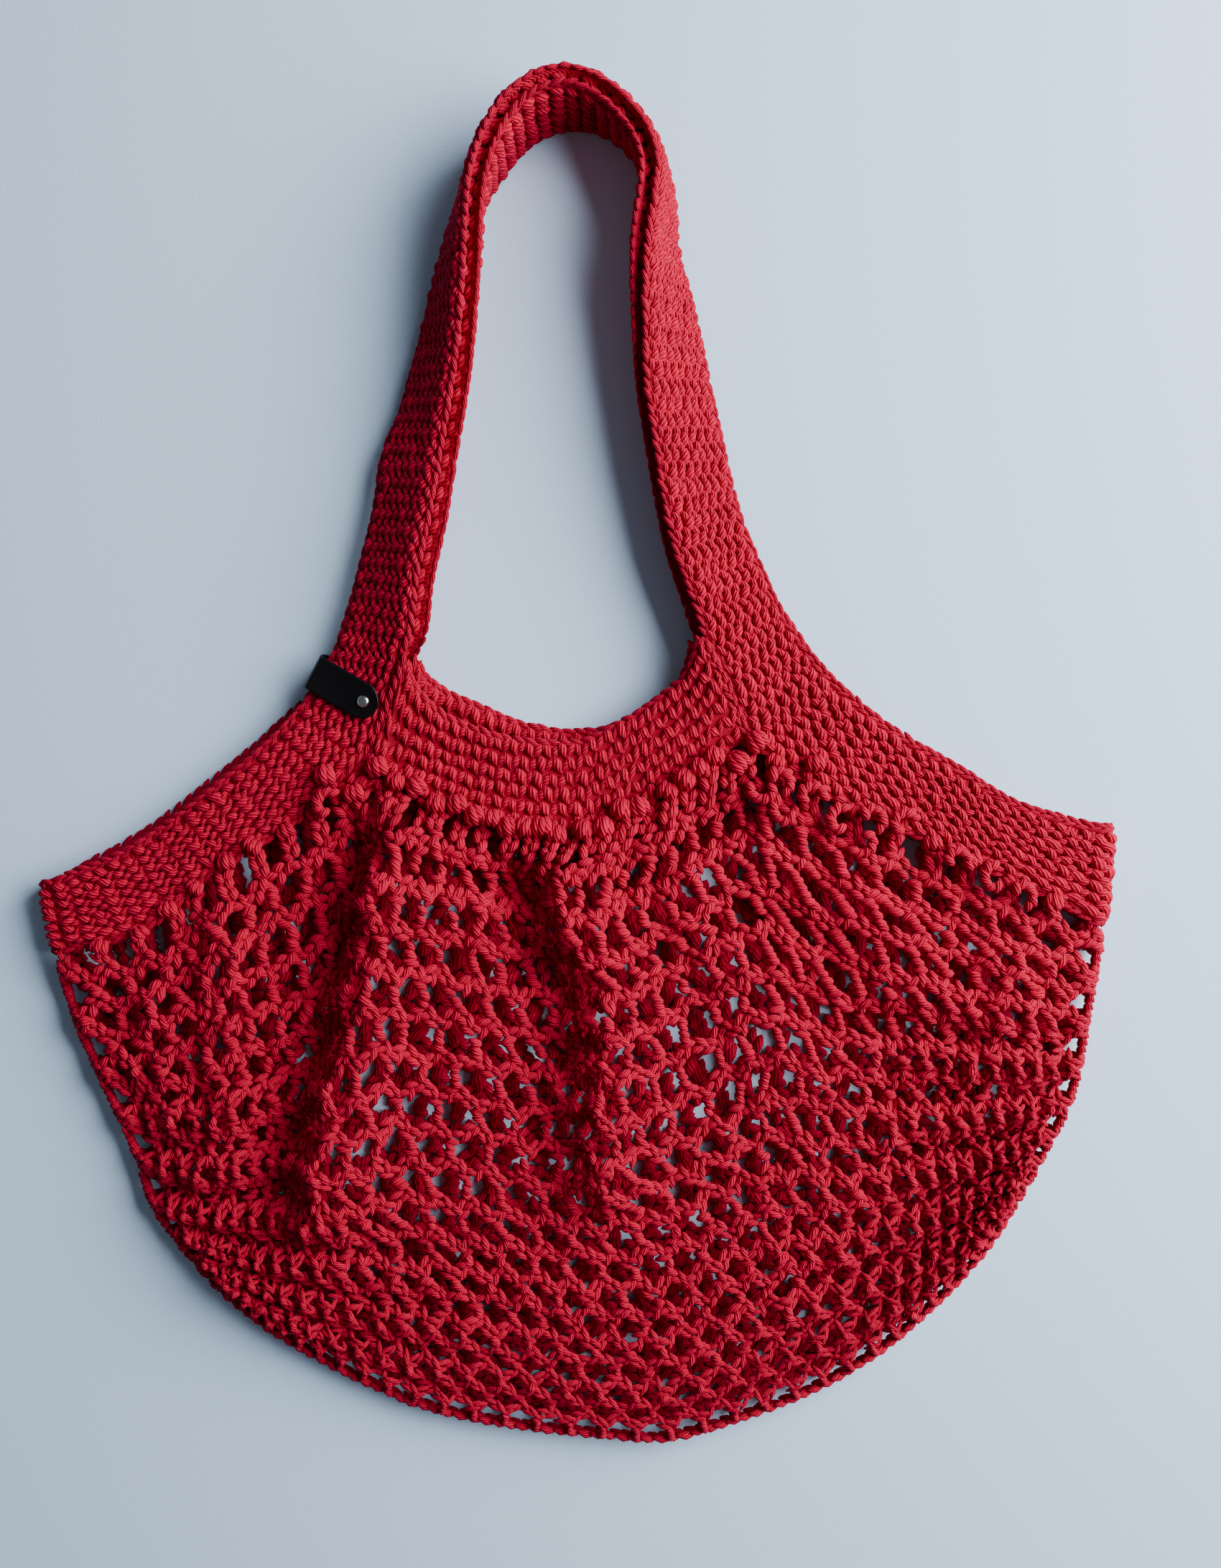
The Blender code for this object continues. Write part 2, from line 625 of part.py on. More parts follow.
def outline_keys():
    """Return the crossings round the net's outline, from the left corner to the right corner."""
    last = 2 * NET_COLUMNS
    left = [(0, line) for line in range(NET_ROWS + 1)]
    foot = [(k, NET_ROWS) for k in range(1, last)]
    right = [(last, line) for line in range(NET_ROWS, -1, -1)]
    return left + foot + right


def add_outline_fold(front_sheet, back_sheet):
    """Turn each layer's outline towards the other, as the two halves of a half-round fold."""
    keys = outline_keys()
    front = np.array([front_sheet.points[front_sheet.known[("front", *key)]] for key in keys])
    back = np.array([back_sheet.points[back_sheet.known[("back", *key)]] for key in keys])
    along = unit(np.gradient(front[:, :2], chord_knots(front[:, :2]), axis=0))
    outward = np.column_stack([along[:, 1], -along[:, 0], np.zeros(len(keys))])
    middle = (front + back) / 2
    half = (front[:, 2] - back[:, 2])[:, None] / 2
    up = np.array((0.0, 0.0, 1.0))
    for sheet, side, towards in ((front_sheet, "front", up), (back_sheet, "back", -up)):
        strips = [[sheet.known[(side, *key)] for key in keys]]
        for angle in HALF_FOLD_ANGLES:
            turn = math.radians(angle)
            places = middle + half * (outward * math.sin(turn) + towards * math.cos(turn))
            strips.append([sheet.add(place) for place in places])
        for index, normal in zip(strips[-1], outward):
            meeting = towards * NET_HALVES_GAP / 2 + up * NET_HALVES_LIFT
            sheet.points[index] = sheet.points[index] + meeting
            sheet.edge_normals[index] = normal
        for near, far in zip(strips[:-1], strips[1:]):
            upper, lower = (near, far) if side == "front" else (far, near)
            for i in range(len(keys) - 1):
                sheet.faces.append([upper[i], lower[i], lower[i + 1], upper[i + 1]])


def make_net():
    """Make the front and the back of the net, open to each other under the strap and yokes."""
    front, back = Sheet(), Sheet()
    add_layer(front, NetLayer(True))
    add_layer(back, NetLayer(False))
    add_outline_fold(front, back)
    for name, sheet in (("net_front", front), ("net_back", back)):
        points, faces = sheet.solid(NET_THICK)
        mesh_object(name, points, faces, (0.5, 0.014, 0.04), 0.85)


class LabelFrame:
    """The leather label's own directions, laid on the curved strap."""

    def __init__(self):
        self.place = row_place(LABEL_ROW)
        outer, inner = front_strap([self.place])[:2]
        self.origin = outer[0]
        self.inward = unit((inner - outer)[0, :2])
        self.along = np.array((-self.inward[1], self.inward[0]))

    def point(self, a, b, level):
        """Return the point a along the edge, b inward from it and level above the mid-surface."""
        target = self.origin[:2] + self.inward * max(b, 0.0) + self.along * a
        places = self.place + np.linspace(-30.0, 30.0, 241)
        outer, inner, normal = front_strap(places)[:3]
        across = inner - outer
        length = np.sum(across[:, :2] ** 2, axis=1)
        share = np.sum((target - outer[:, :2]) * across[:, :2], axis=1) / length
        foot = outer + across * share[:, None]
        best = np.argmin(np.linalg.norm(foot[:, :2] - target, axis=1))
        beyond = np.array((*(self.inward * min(b, 0.0)), 0.0))
        return foot[best] + beyond + normal[best] * level


def label_path():
    """Return the label's path as (inward, level, normal inward, normal level), top end first."""
    level = STRAP_THICK / 2 + LABEL_GAP + LABEL_THICK / 2
    straight = [1.0 - math.cos(math.radians(turn)) for turn in (0, 20, 40, 60, 80)]
    radius = LABEL_WIDTH / 2
    run = [LABEL_LENGTH - 0.4 - (radius - 0.4) * share for share in straight]
    run += list(np.linspace(LABEL_LENGTH - radius - 2.0, 0.0, 5))
    path = [(b, level, 0.0, 1.0) for b in run]
    for turn in (30, 60, 90, 120, 150):
        sine, cosine = math.sin(math.radians(turn)), math.cos(math.radians(turn))
        path.append((-LABEL_FOLD_REACH * sine, level * cosine, -sine, cosine))
    path += [(b, -level, 0.0, -1.0) for b in reversed(run)]
    return path


def label_half_width(b):
    """Return half the label's width at b: parallel sides and a round end."""
    radius = LABEL_WIDTH / 2
    beyond = max(0.0, b - (LABEL_LENGTH - radius))
    return math.sqrt(max(radius ** 2 - beyond ** 2, 1.0))


def make_label(frame):
    """Make the leather label, folded round the strap's outer edge."""
    over, under = [], []
    for b, level, normal_b, normal_level in label_path():
        half = label_half_width(b)
        for rows, offset in ((over, LABEL_THICK / 2), (under, -LABEL_THICK / 2)):
            place = (b + offset * normal_b, level + offset * normal_level)
            rows.append([frame.point(half * share, *place) for share in (-1.0, 0.0, 1.0)])
    points, faces = sheet_faces(np.array(over), np.array(under))
    return mesh_object("leather_label", points, faces, (0.012, 0.011, 0.011), 0.5)


def turned(name, profile, frame, colour, roughness, metallic):
    """Make a round piece on the rivet's axis from a profile of (radius, level)."""
    sides = 14
    b = LABEL_LENGTH - RIVET_FROM_END
    low, high = frame.point(0.0, b, -1.0), frame.point(0.0, b, 1.0)
    axis = unit(high - low)
    centre = (low + high) / 2
    first = unit(np.cross(axis, (0.0, 1.0, 0.0)))
    second = np.cross(axis, first)
    points, faces = [], []
    for radius, level in profile:
        for side in range(sides):
            turn = 2 * math.pi * side / sides
            spoke = first * math.cos(turn) + second * math.sin(turn)
            points.append(centre + axis * level + spoke * radius)
    for ring in range(len(profile) - 1):
        for side in range(sides):
            after = (side + 1) % sides
            base = ring * sides
            faces.append((base + side, base + after, base + sides + after, base + sides + side))
    faces.append(tuple(range(sides - 1, -1, -1)))
    faces.append(tuple(range((len(profile) - 1) * sides, len(profile) * sides)))
    return mesh_object(name, points, faces, colour, roughness, metallic)


def make_rivet(frame):
    """Make the rivet: a domed head over the label, a post, and a flat head under it."""
    seat = STRAP_THICK / 2 + LABEL_GAP + LABEL_THICK + RIVET_SEAT_GAP
    profile = [(RIVET_FOOT_RADIUS, -seat - RIVET_FOOT_HEIGHT), (RIVET_FOOT_RADIUS, -seat),
               (RIVET_POST_RADIUS, -seat), (RIVET_POST_RADIUS, seat), (RIVET_HEAD_RADIUS, seat),
               (RIVET_HEAD_RADIUS, seat + 0.35 * RIVET_HEAD_HEIGHT),
               (RIVET_HEAD_RADIUS * 0.75, seat + 0.8 * RIVET_HEAD_HEIGHT),
               (RIVET_HEAD_RADIUS * 0.3, seat + RIVET_HEAD_HEIGHT)]
    return turned("label_rivet", profile, frame, (0.55, 0.54, 0.52), 0.3, 1.0)


def drill(pieces, frame):
    """Cut the rivet's hole through each of the pieces."""
    reach = STRAP_THICK / 2 + LABEL_GAP + LABEL_THICK + 0.5
    profile = [(RIVET_HOLE_RADIUS, -reach), (RIVET_HOLE_RADIUS, reach)]
    cutter = turned("rivet_hole", profile, frame, (0.5, 0.5, 0.5), 0.5, 0.0)
    cutter.hide_render = True
    cutter.display_type = "WIRE"
    for piece in pieces:
        cut = piece.modifiers.new("rivet_hole", "BOOLEAN")
        cut.operation = "DIFFERENCE"
        cut.solver = "EXACT"
        cut.object = cutter


def main():
    """Clear the scene and make the bag's pieces."""
    for old in list(bpy.data.objects):
        bpy.data.objects.remove(old, do_unlink=True)
    strap = make_strap()
    make_yoke("yoke_front", front_strap, FRONT_NECKLINE, FRONT_Z, 2 * YOKE_ROWS, YOKE_ROW_RISE)
    make_yoke("yoke_back", back_strap, BACK_NECKLINE, BACK_STRAP_Z, YOKE_ROWS, 0.0)
    make_net()
    frame = LabelFrame()
    label = make_label(frame)
    make_rivet(frame)
    drill((strap, label), frame)


main()
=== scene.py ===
"""Looks of a crocheted mesh market bag that lies flat, with its floor, lights and camera.

Lengths in the tables below are millimetres in the bag's own frame: the bag lies on z = 0,
its handles point towards +Y, and the seen side is up. MM turns them into metres.
The small shapes (a grain of yarn, a drop-shaped stitch, the lobe of a bobble) are modelled
once and copied along the bag's surfaces. Tables of the picture's own pixels say so.
"""
import math

import bpy
import numpy as np
from bpy.props import FloatProperty, FloatVectorProperty, IntProperty, PointerProperty
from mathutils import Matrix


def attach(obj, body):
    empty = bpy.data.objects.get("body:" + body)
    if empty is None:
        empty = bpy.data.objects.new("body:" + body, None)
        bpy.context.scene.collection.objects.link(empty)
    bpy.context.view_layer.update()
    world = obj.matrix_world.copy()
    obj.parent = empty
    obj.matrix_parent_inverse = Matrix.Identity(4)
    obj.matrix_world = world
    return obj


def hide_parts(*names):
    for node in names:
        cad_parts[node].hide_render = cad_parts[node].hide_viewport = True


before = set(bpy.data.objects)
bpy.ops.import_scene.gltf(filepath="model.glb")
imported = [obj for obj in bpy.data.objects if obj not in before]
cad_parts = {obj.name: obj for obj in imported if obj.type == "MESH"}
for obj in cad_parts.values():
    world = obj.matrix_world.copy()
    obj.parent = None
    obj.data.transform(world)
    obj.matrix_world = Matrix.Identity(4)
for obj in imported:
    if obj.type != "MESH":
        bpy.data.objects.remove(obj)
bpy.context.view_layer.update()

bl_info = {
    "name": "Mesh Market Bag",
    "version": (1, 0, 0),
    "blender": (4, 5, 0),
    "location": "View3D > Sidebar > Market Bag",
    "description": "Makes a crocheted mesh market bag, its floor, lights and camera",
    "category": "Add Mesh",
}

MM = 0.001
UP = np.array((0.0, 0.0, 1.0))
# Puts the middle of the bag, as the tables give it, over the frame's origin.
CENTRE_SHIFT = (0.17, 0.65, 0.0)
# Least height of any point, and of the middle of the strap's outer edge.
LEAST_HEIGHT = 0.2
LEAST_EDGE = 0.3

# Thicknesses, and heights of the middle of each layer where it lies flat.
STRAP_THICK = 5.5
NET_THICK = 5.0
BACK_STRAP_Z = 2.75
BACK_NET_Z = 2.5
FRONT_Z = 13.25
# Radius of the net's side folds, and the turns at which the strap is drawn round its corners.
FOLD_RADIUS = (FRONT_Z - BACK_NET_Z) / 2
CORNER_ANGLES = np.arange(15, 180, 15)

# Rows of the front strap's table at which the yokes' rims and feet meet it, on either side.
YOKE_TOP_LEFT, YOKE_FOOT_LEFT = 9.25, 5.75
YOKE_TOP_RIGHT, YOKE_FOOT_RIGHT = 37.0, 39.0
# Gap between a yoke's panel and the strap at the panel's foot and at its rim.
SEAM_GAP = 1.2
SEAM_GAP_AT_RIM = 2.3
# How fast the shape of a yoke's ends fades towards its middle.
END_FADE = 8

# The net: cells in a row, rows, half cells that hang from the left band and from the yoke.
NET_COLUMNS = 38
NET_ROWS = 19
LEFT_BAND_STEPS = 18
YOKE_STEPS = 40
# Length of chain in half a cell, which sets how steeply the row lines zigzag.
HALF_CELL_CHAIN = 13.2

# Readings along the front strap, how far before and after a place its heading is read, and
# readings along each side of the net, and across and down a yoke.
STRAP_READINGS = 340
STRAP_HEADING_REACH = 0.5
NET_SIDE_READINGS = 241
YOKE_READINGS = (81, 25)

# The front of the strap, from the left corner over the handle to the right corner.
# Each row is a line across the band. Columns: outer edge x and y, inner edge x and y, how much
# higher the inner edge lies, gap to the strap beneath, how far the strap beneath peeks out.
FRONT_STRAP = (
    (-229.3, -49.1, -223.6, -80.4, 0, 5, 0),
    (-219, -44.7, -209, -78, 0, 5, 2),
    (-202, -38, -186, -69.5, 0, 5, 4),
    (-180, -24.5, -161, -48.5, 0, 5, 4.5),
    (-157, -6.5, -135.5, -32.5, 0, 5, 4.5),
    (-141.5, 6, -117.5, -20, 0, 5, 4.5),
    (-125.5, 21.5, -99.5, -2, 0, 5, 4),
    (-117, 31.5, -89.5, 10.5, 1, 5, 2.5),
    (-112, 41, -83.5, 24.5, 4.5, 5, 1.5),
    (-106, 51, -76, 43.5, 12, 5, 1),
    (-101.5, 65, -70.5, 57, 20, 4, 0),
    (-95.5, 87.5, -67, 80.5, 24, 3, 0),
    (-89.5, 112, -61.5, 106, 25, 3, 0),
    (-84, 142, -56.5, 135, 25.5, 2.5, 0),
    (-78.5, 155, -54, 148.5, 28.5, 2, 0),
    (-73.5, 173, -51, 166.5, 30, 1.5, 0),
    (-68, 193.5, -48.5, 188.5, 32.5, 1, 0),
    (-63, 214, -47, 209.5, 34.5, 0.8, 0),
    (-57.5, 233, -46, 230, 36, 0.6, 0),
    (-50.5, 249.5, -44.5, 247.5, 37.3, 0.6, 0),
    (-40, 265.5, -39.2, 266, 37.9, 0.6, 0),
    (-29.5, 278.5, -30.3, 280.4, 38, 0.6, 0),
    (-16.5, 287, -17.3, 290.2, 38, 0.6, 0),
    (-2.5, 290.5, -3, 293, 38, 0.6, 0),
    (12.5, 288.8, 12, 287.4, 38, 0.6, 0),
    (24.5, 281.5, 22.5, 278, 37.7, 0.6, 0),
    (33.5, 271.5, 29.5, 268.5, 37.5, 0.6, 0),
    (39.5, 259.5, 33.5, 257, 37.4, 0.6, 0),
    (42.5, 245, 33, 243.5, 36.8, 0.6, 0),
    (44, 227.5, 30, 224.5, 35.5, 0.6, 0),
    (49.5, 209, 28.5, 203.5, 31, 0.6, 0.5),
    (54.5, 187, 28.6, 182, 27.5, 0.7, 1),
    (58, 169, 29.4, 163, 24, 0.8, 1),
    (63, 146.5, 33, 139.5, 22.5, 1, 1),
    (67, 128, 36, 120, 19.5, 1.2, 1),
    (74, 104, 42, 92.5, 16.5, 2, 0.5),
    (82, 85.5, 50, 70.5, 14.5, 3, 0),
    (87.5, 72.5, 55, 56, 11.5, 4, 0),
    (96, 59, 65, 36.5, 5, 5, 0),
    (106.5, 45, 74.5, 14.5, 0.5, 5, 0),
    (120, 31.5, 88.5, 0, 0, 5, 0),
    (133, 21, 105.5, -11, 0, 5, 0),
    (149, 10.5, 128, -22, 0, 5, 0),
    (168.5, -0.5, 151, -32, 0, 5, 0),
    (186, -12, 170.5, -41, 0, 5, 0),
    (201.5, -18, 189.5, -50.5, 0, 5, 0),
    (218.5, -23, 209, -59, 0, 5, 0),
    (228.7, -24.8, 225.2, -68, 0, 5, 0),
)

# Dips beside the large folds. Columns: three points of the dip's line, depth, width.
NET_VALLEYS = (
    ((-95, -24), (-112, -112), (-132, -176), 6.5, 12),
    ((-34, -32), (-8, -102), (-10, -165), 6.5, 12),
    ((92, -14), (122, -90), (138, -132), 2.0, 8),
)
# How far rows crowd towards the foot, more so at the sides, and columns towards the corners.
ROW_CROWDING = 0.5
SIDE_CROWDING = 0.25
FOOT_CROWDING = 0.75
# Where the columns lie at a middle level, given as a share of the way down: share of the
# columns, share of the width.
MIDDLE_LEVEL = 0.45
MIDDLE_SHARES = ((0.0, 0.0), (0.237, 0.2), (0.763, 0.81), (1.0, 1.0))
# How much closer to the foot line the last line of chains lies, in rows.
FOOT_SQUEEZE = 0.5
# How much more net a fold takes up than its slope alone.
PLEAT_TAKE = 1.8
# How far the front layer stands up inside its edges, and over how many rows at the top, rows
# at the foot and half columns at the sides its folds fade out.
FRONT_PUFF = 0.8
FOLD_EDGES = (1.6, 2.5, 5)
# Over how many rows and half columns the back layer comes to lie one row off the front layer,
# and over how many rows it leaves its own top edge.
OFFSET_EDGES = (1.5, 3, 4)
HANG_ROWS = 5
# How far the back layer sways off its place. Waves: radians for each millimetre, start.
BACK_SWAY = (1.5, 1.1)
SWAY_WAVES = ((0.07, 0.4), (0.05, 1.9))
# How unevenly crossings lie.
NET_WOBBLE = (1.2, 1.2, 0.8)
# Least and greatest zigzag of a row line, as shares of the space between rows.
ZIGZAG_LIMITS = (0.2, 0.41)
# How far a crossing on a side fold lies off its place, to and fro along the fold.
FOLD_ZIGZAG = 2.2
# How far neighbouring strands lie above each other where the net is gathered.
GATHER_RISE = 5.0
# Half cells narrower than the first length are gathered, and fully at the second. Strands
# there are thinner by the share.
GATHER_FROM, GATHER_TO, GATHER_SLIM = 8.2, 4.0, 0.1
# Strands by the band and yoke are thicker by a share that fades over the rows.
TOP_SWELL, SWELL_ROWS = 0.3, 8.0
# Rows closer together than the length have thinner and steadier strands, down to the share.
TIGHT_ROW, TIGHT_SLIM = 11.5, 0.7
# How much thicker the back layer's strands are.
BACK_SCALE = 1.45
# Turns in degrees at which a row line is drawn round a side fold, and a cord round the foot.
FOLD_TURNS = np.array((30.0, 60.0))
FOOT_TURNS = np.array((50.0,))
# Unevenness of a cord's height, its width, and the places of the loose first row.
CORD_SAG = (0.3, 0.4)
CORD_UNEVEN_WIDTH = 0.07
FIRST_ROW_SWAY = 1.4

# Chains: length of a stitch, width, slant of its grains in degrees in the net and on edges.
CHAIN_PITCH = 5.5
CHAIN_WIDTH = 6.8
CHAIN_SLANT = 19.0
EDGE_SLANT = 14.0
# A chain's grain: its length in stitches, and in widths of the chain its width, thickness,
# how far it lies off the middle line and how much it rises.
GRAIN_LENGTH, GRAIN_WIDTH, GRAIN_THICK = 1.48, 0.55, 0.54
GRAIN_ASIDE, GRAIN_RISE = 0.235, 0.18
# Unevenness of grains along a chain, in their turn and in their size.
GRAIN_SLIP, GRAIN_TURN, GRAIN_SWELL = 0.25, 6.0, 0.05

# Cords: points along one, its width in the net, slant of its grains, and in widths of the cord
# the step from grain to grain and a grain's length, width and thickness.
CORD_POINTS = 4
CORD_WIDTH = 5.6
CORD_SLANT = 46.0
CORD_STEP = 0.54
CORD_GRAIN = (1.12, 0.7, 0.86)
CORD_GRAIN_TURN, CORD_GRAIN_SWELL = 7.0, 0.06
# Grains of yarn: sides, rings, the share of their thickness left at the tail, and how far
# their ends lie below their middle.
NET_GRAIN = (6, 4, 0.75, 0.08)
BACK_NET_GRAIN = (5, 4, 0.75, 0.08)
STRAP_GRAIN = (8, 6, 0.8, 0.06)
SMALL_GRAIN = (6, 5, 0.8, 0.06)
EDGE_GRAIN = (6, 5, 0.9, 0.04)
YOKE_GRAIN = (8, 6, 0.6, 0.1)
BOBBLE_GRAIN = (8, 7, 0.9, 0.16)
CURL_GRAIN = (8, 6, 0.9, 0.05)
# Where a grain's tail starts and its ends bend, as shares of its length from its middle.
TAIL_START, GRAIN_BEND = 0.18, 0.3
# Each grain's plies start anywhere along this length of yarn.
YARN_START = 50
# How far before and after a place on a strand its heading is read.
HEADING_REACH = 1.2

# The strap's stitches: length of a row, stitches across, and how far the first and last stand
# in from the edges. Every second row is shifted by a share of the space between stitches.
STRAP_ROW = 7.1
STITCHES_ACROSS = 7
STRAP_MARGIN = 2.4
STRAP_SHIFT = 0.25
# Stitches: length, width as a share of the space, thickness; their height and slant.
STRAP_STITCH = (7.9, 0.96, 4.9)
STRAP_LEVEL = 1.3
STRAP_SLANT = 20.0
# Smaller stitches between the rows of the seen side: size, height, how far ahead and across.
FILLING_STITCH = (6.4, 0.72, 4.0)
FILLING_LEVEL = 1.35
FILLING_AHEAD, FILLING_ACROSS = 3.5, 0.5
# Unevenness of the strap's stitches in place, slant and size.
STRAP_JOG, STRAP_TURN, STRAP_SWELL = 0.35, 9.0, 0.07
# How far past the right corner the seen side's stitches reach, and about how much longer the
# whole loop is than twice its front.
CORNER_REACH = 16.0
CORNER_LENGTH = 33.0
# Chains along the strap's edges: stitch, width, how far in, height, step between readings.
EDGE_CHAIN, EDGE_WIDTH = 5.4, 4.6
EDGE_INSET, EDGE_LEVEL = 1.5, 0.4
EDGE_READING = 1.5
# The plain band beneath the stitches: step between sections, and each section's corners as
# the distance in from the outer edge, or below 0 from the inner edge, and height.
BAND_READING = 5.0
BAND_SECTION = (
    (0.9, -0.6), (2.2, -1.1), (-2.2, -1.1), (-0.9, -0.6), (-0.9, 0.2), (-2.2, 0.5), (2.2, 0.5),
    (0.9, 0.2),
)

# The yokes' rows of stitches: rows, how far down the first lies in rows, space between
# stitches, and the shift of every second row as a share of that space.
YOKE_ROWS = 6
YOKE_FIRST_ROW = 0.62
YOKE_STITCH = 6.8
YOKE_SHIFT = 0.35
# The two legs of each stitch: heading in degrees and size. Length in rows, width, thickness.
YOKE_LEGS = ((-118.0, 1.0), (-60.0, 0.88))
YOKE_LEG = (1.3, 4.5, 4.8)
YOKE_LEG_ASIDE, YOKE_LEG_LEVEL = 1.55, 0.6
# Unevenness of the yokes' stitches: shares across and down, turn and size.
YOKE_SLIP, YOKE_DROP, YOKE_TURN, YOKE_SWELL = 0.0022, 0.008, 8.0, 0.08
# Chains along a yoke's rim and foot: share down it, height. Stitch and width of those chains.
YOKE_RIMS = ((0.035, 0.6), (0.97, 0.0))
RIM_CHAIN, RIM_WIDTH, RIM_READINGS = 5.2, 5.2, 160
# Chains along a yoke's ends: stitch, width, readings, height, and how far out they lie.
END_CHAIN, END_WIDTH, END_READINGS = 5.4, 5.0, 60
END_LEVEL, END_OUT = 0.9, 0.9
# How far in from its ends, as a share of its length, a yoke's direction there is read.
END_STEP = 0.02
# A yoke's panel: its upper side, its lower side with and without stitches there, how much its
# rim is thinned, and the yarn coordinates of its whole depth and length.
PANEL_TOP = 1.2
PANEL_UNDER, PANEL_UNDER_STITCHED = -2.4, -1.2
PANEL_RIM = 0.4
PANEL_YARN = (5.0, 190.0)
# Where a panel's rounded rim ends, as shares across and down it, and readings between.
PANEL_ACROSS = (0.008, 40)
PANEL_DOWN = (0.03, 10)

# Bobbles: size of a lobe, how far apart and how much lower the outer lobes lie, their spread
# in heading, and the size of those along the bands.
BOBBLE_SIZE = (9.2, 4.9, 7.0)
LOBES_APART, LOBE_DROP, LOBE_SPREAD = 2.3, 0.9, 0.12
BAND_BOBBLE = 0.8
# Heights of the bobbles at the yoke, of those along the bands above the net, and of the curls.
BOBBLE_Z, BAND_BOBBLE_RISE, CURL_Z = 18.5, 3.2, 20.5
# Unevenness of bobbles in place, heading and size, and how steeply they hang.
BOBBLE_JOG, BOBBLE_TURN, BOBBLE_SWELL = 0.8, 0.35, 0.08
BOBBLE_DROOP = -0.25
# Curls: turns in degrees at which one is drawn, its radii and rise, width and slant of grains.
CURL_TURNS = np.linspace(-100.0, 140.0, 9)
CURL_RADII, CURL_RISE = (4.2, 5.0), 1.2
CURL_WIDTH = 5.8
CURL_SLANT = 38.0

# The label: its row in the front strap's table, how far it reaches in, width, thickness, its
# height above and below the strap's middle, and how far its fold reaches out.
LABEL_ROW = 8.0
LABEL_LENGTH = 31.0
LABEL_WIDTH = 16.0
LABEL_THICK = 1.2
LABEL_LEVEL = 4.5
LABEL_FOLD_REACH = 2.9
# Shares of the half width at which the label is drawn, and its thickness at the outermost.
LABEL_SHARES = (-1.0, -0.97, -0.85, -0.5, 0.0, 0.5, 0.85, 0.97, 1.0)
LABEL_RIM = 0.45
# Turns of its round end and of its fold in degrees, and its straight stretch: how far from
# the end it starts, how far from the strap's edge it stops, and readings.
LABEL_ROUND_TURNS = np.arange(4.0, 90.0, 9.0)
LABEL_FOLD_TURNS = np.arange(0.0, 181.0, 12.0)
LABEL_STRAIGHT = (9.0, 0.5, 14)
# Least half width squared, which keeps the tip of the round end a little blunt.
LABEL_TIP = 0.3
# How far before and after the label places on the strap are searched.
LABEL_SEARCH = np.linspace(-30.0, 30.0, 241)
# The rivet: its place from the label's end, radius, height of its domes, radius of its shank
# and how far that sinks into the domes, and sides.
RIVET_FROM_END = 6.7
RIVET_RADIUS = 2.7
RIVET_HEIGHT = 1.4
RIVET_SHANK, RIVET_SINK = 1.2, 0.1
RIVET_SIDES = 40

# The camera's place, and the length of floor that the picture shows, in millimetres.
CAMERA_PLACE = (14.67, -6.45, 620.0)
PICTURE_HEIGHT = 698.9
# The picture's height and its middle, in pixels.
PICTURE_PIXELS = 2184
PICTURE_MIDDLE = (850, 1092)
# The floor and the window light, in metres: size, place, and where the light points.
FLOOR_SIZE = 6.0
WINDOW_SIZE = (1.2, 1.0)
WINDOW_PLACE = (0.92, 0.3, 0.7)
WINDOW_AIM = (0.0, -0.05, 0.0)
WINDOW_COLOUR = (0.93, 0.97, 1.0)
ROOM_COLOUR = (0.82, 0.9, 1.0)

# The yarn: plies round a strand, how far fibres stray from them, how round a ply is, how much
# fibres stand out, and the strength and depth in metres of all that.
PLIES = 8
FIBRE_STRAY, PLY_ROUNDNESS, FIBRE_HEIGHT = 2.2, 0.6, 0.5
YARN_BUMP, YARN_BUMP_DEPTH = 0.9, 0.0005
# Noise of the fibres and of the uneven dye: scale and detail.
FIBRE_NOISE = (1500.0, 3.0)
DYE_NOISE = (90.0, 2.0)
# How much the painted shade between plies, the uneven dye and the tone change the colour. The tone
# differs at random from strand to strand, and is a fixed painted shade on the plain pieces beneath
# the stitches.
PLY_SHADE_SHARE, DYE_SHARE, TONE_AND_UNDER_SHADE_SHARE = 0.55, 0.5, 0.07
# Painted sheen: a paler colour painted at the edge of a strand, stronger where its surface turns
# away from the view: colour, how far in it shows, how much.
PAINTED_SHEEN_COLOUR = (0.74, 0.014, 0.085)
PAINTED_SHEEN_BLEND, PAINTED_SHEEN_SHARE = 0.25, 0.35
YARN_SHADER = {
    "Roughness": 0.85, "Specular IOR Level": 0.08, "Sheen Weight": 0.04, "Sheen Roughness": 0.5,
    "Sheen Tint": (1.0, 0.06, 0.22, 1.0),
}

# Plain materials: strength and detail of their grain.
GRAIN_BUMP, GRAIN_DETAIL = 0.6, 4.0
NICKEL_COLOUR = (0.62, 0.6, 0.57)

# Bobbles where the net is hooked to the yoke, as pixels of the picture: across, down.
BOBBLES = (
    (451, 1080), (492, 1105), (524, 1069), (550, 1089), (579, 1096), (607, 1121), (636, 1121),
    (660, 1137), (681, 1140), (706, 1153), (730, 1153), (754, 1153), (775, 1163), (811, 1156),
    (840, 1153), (864, 1128), (891, 1124), (929, 1102), (953, 1086), (975, 1070), (995, 1054),
    (1030, 1061), (1055, 1032), (1135, 1064),
)
# Loose curled loops, most of them along the right band, as pixels of the picture, and the turn
# of each curl.
CURLS = (
    (1087, 1089, 20), (1090, 1128, 200), (1132, 1108, 80), (1170, 1140, 150), (1216, 1141, 30),
    (1260, 1146, 110), (1335, 1199, 60), (1384, 1221, 170), (1425, 1248, 20), (455, 1118, 140),
    (1060, 1100, 250), (1200, 1175, 300),
)

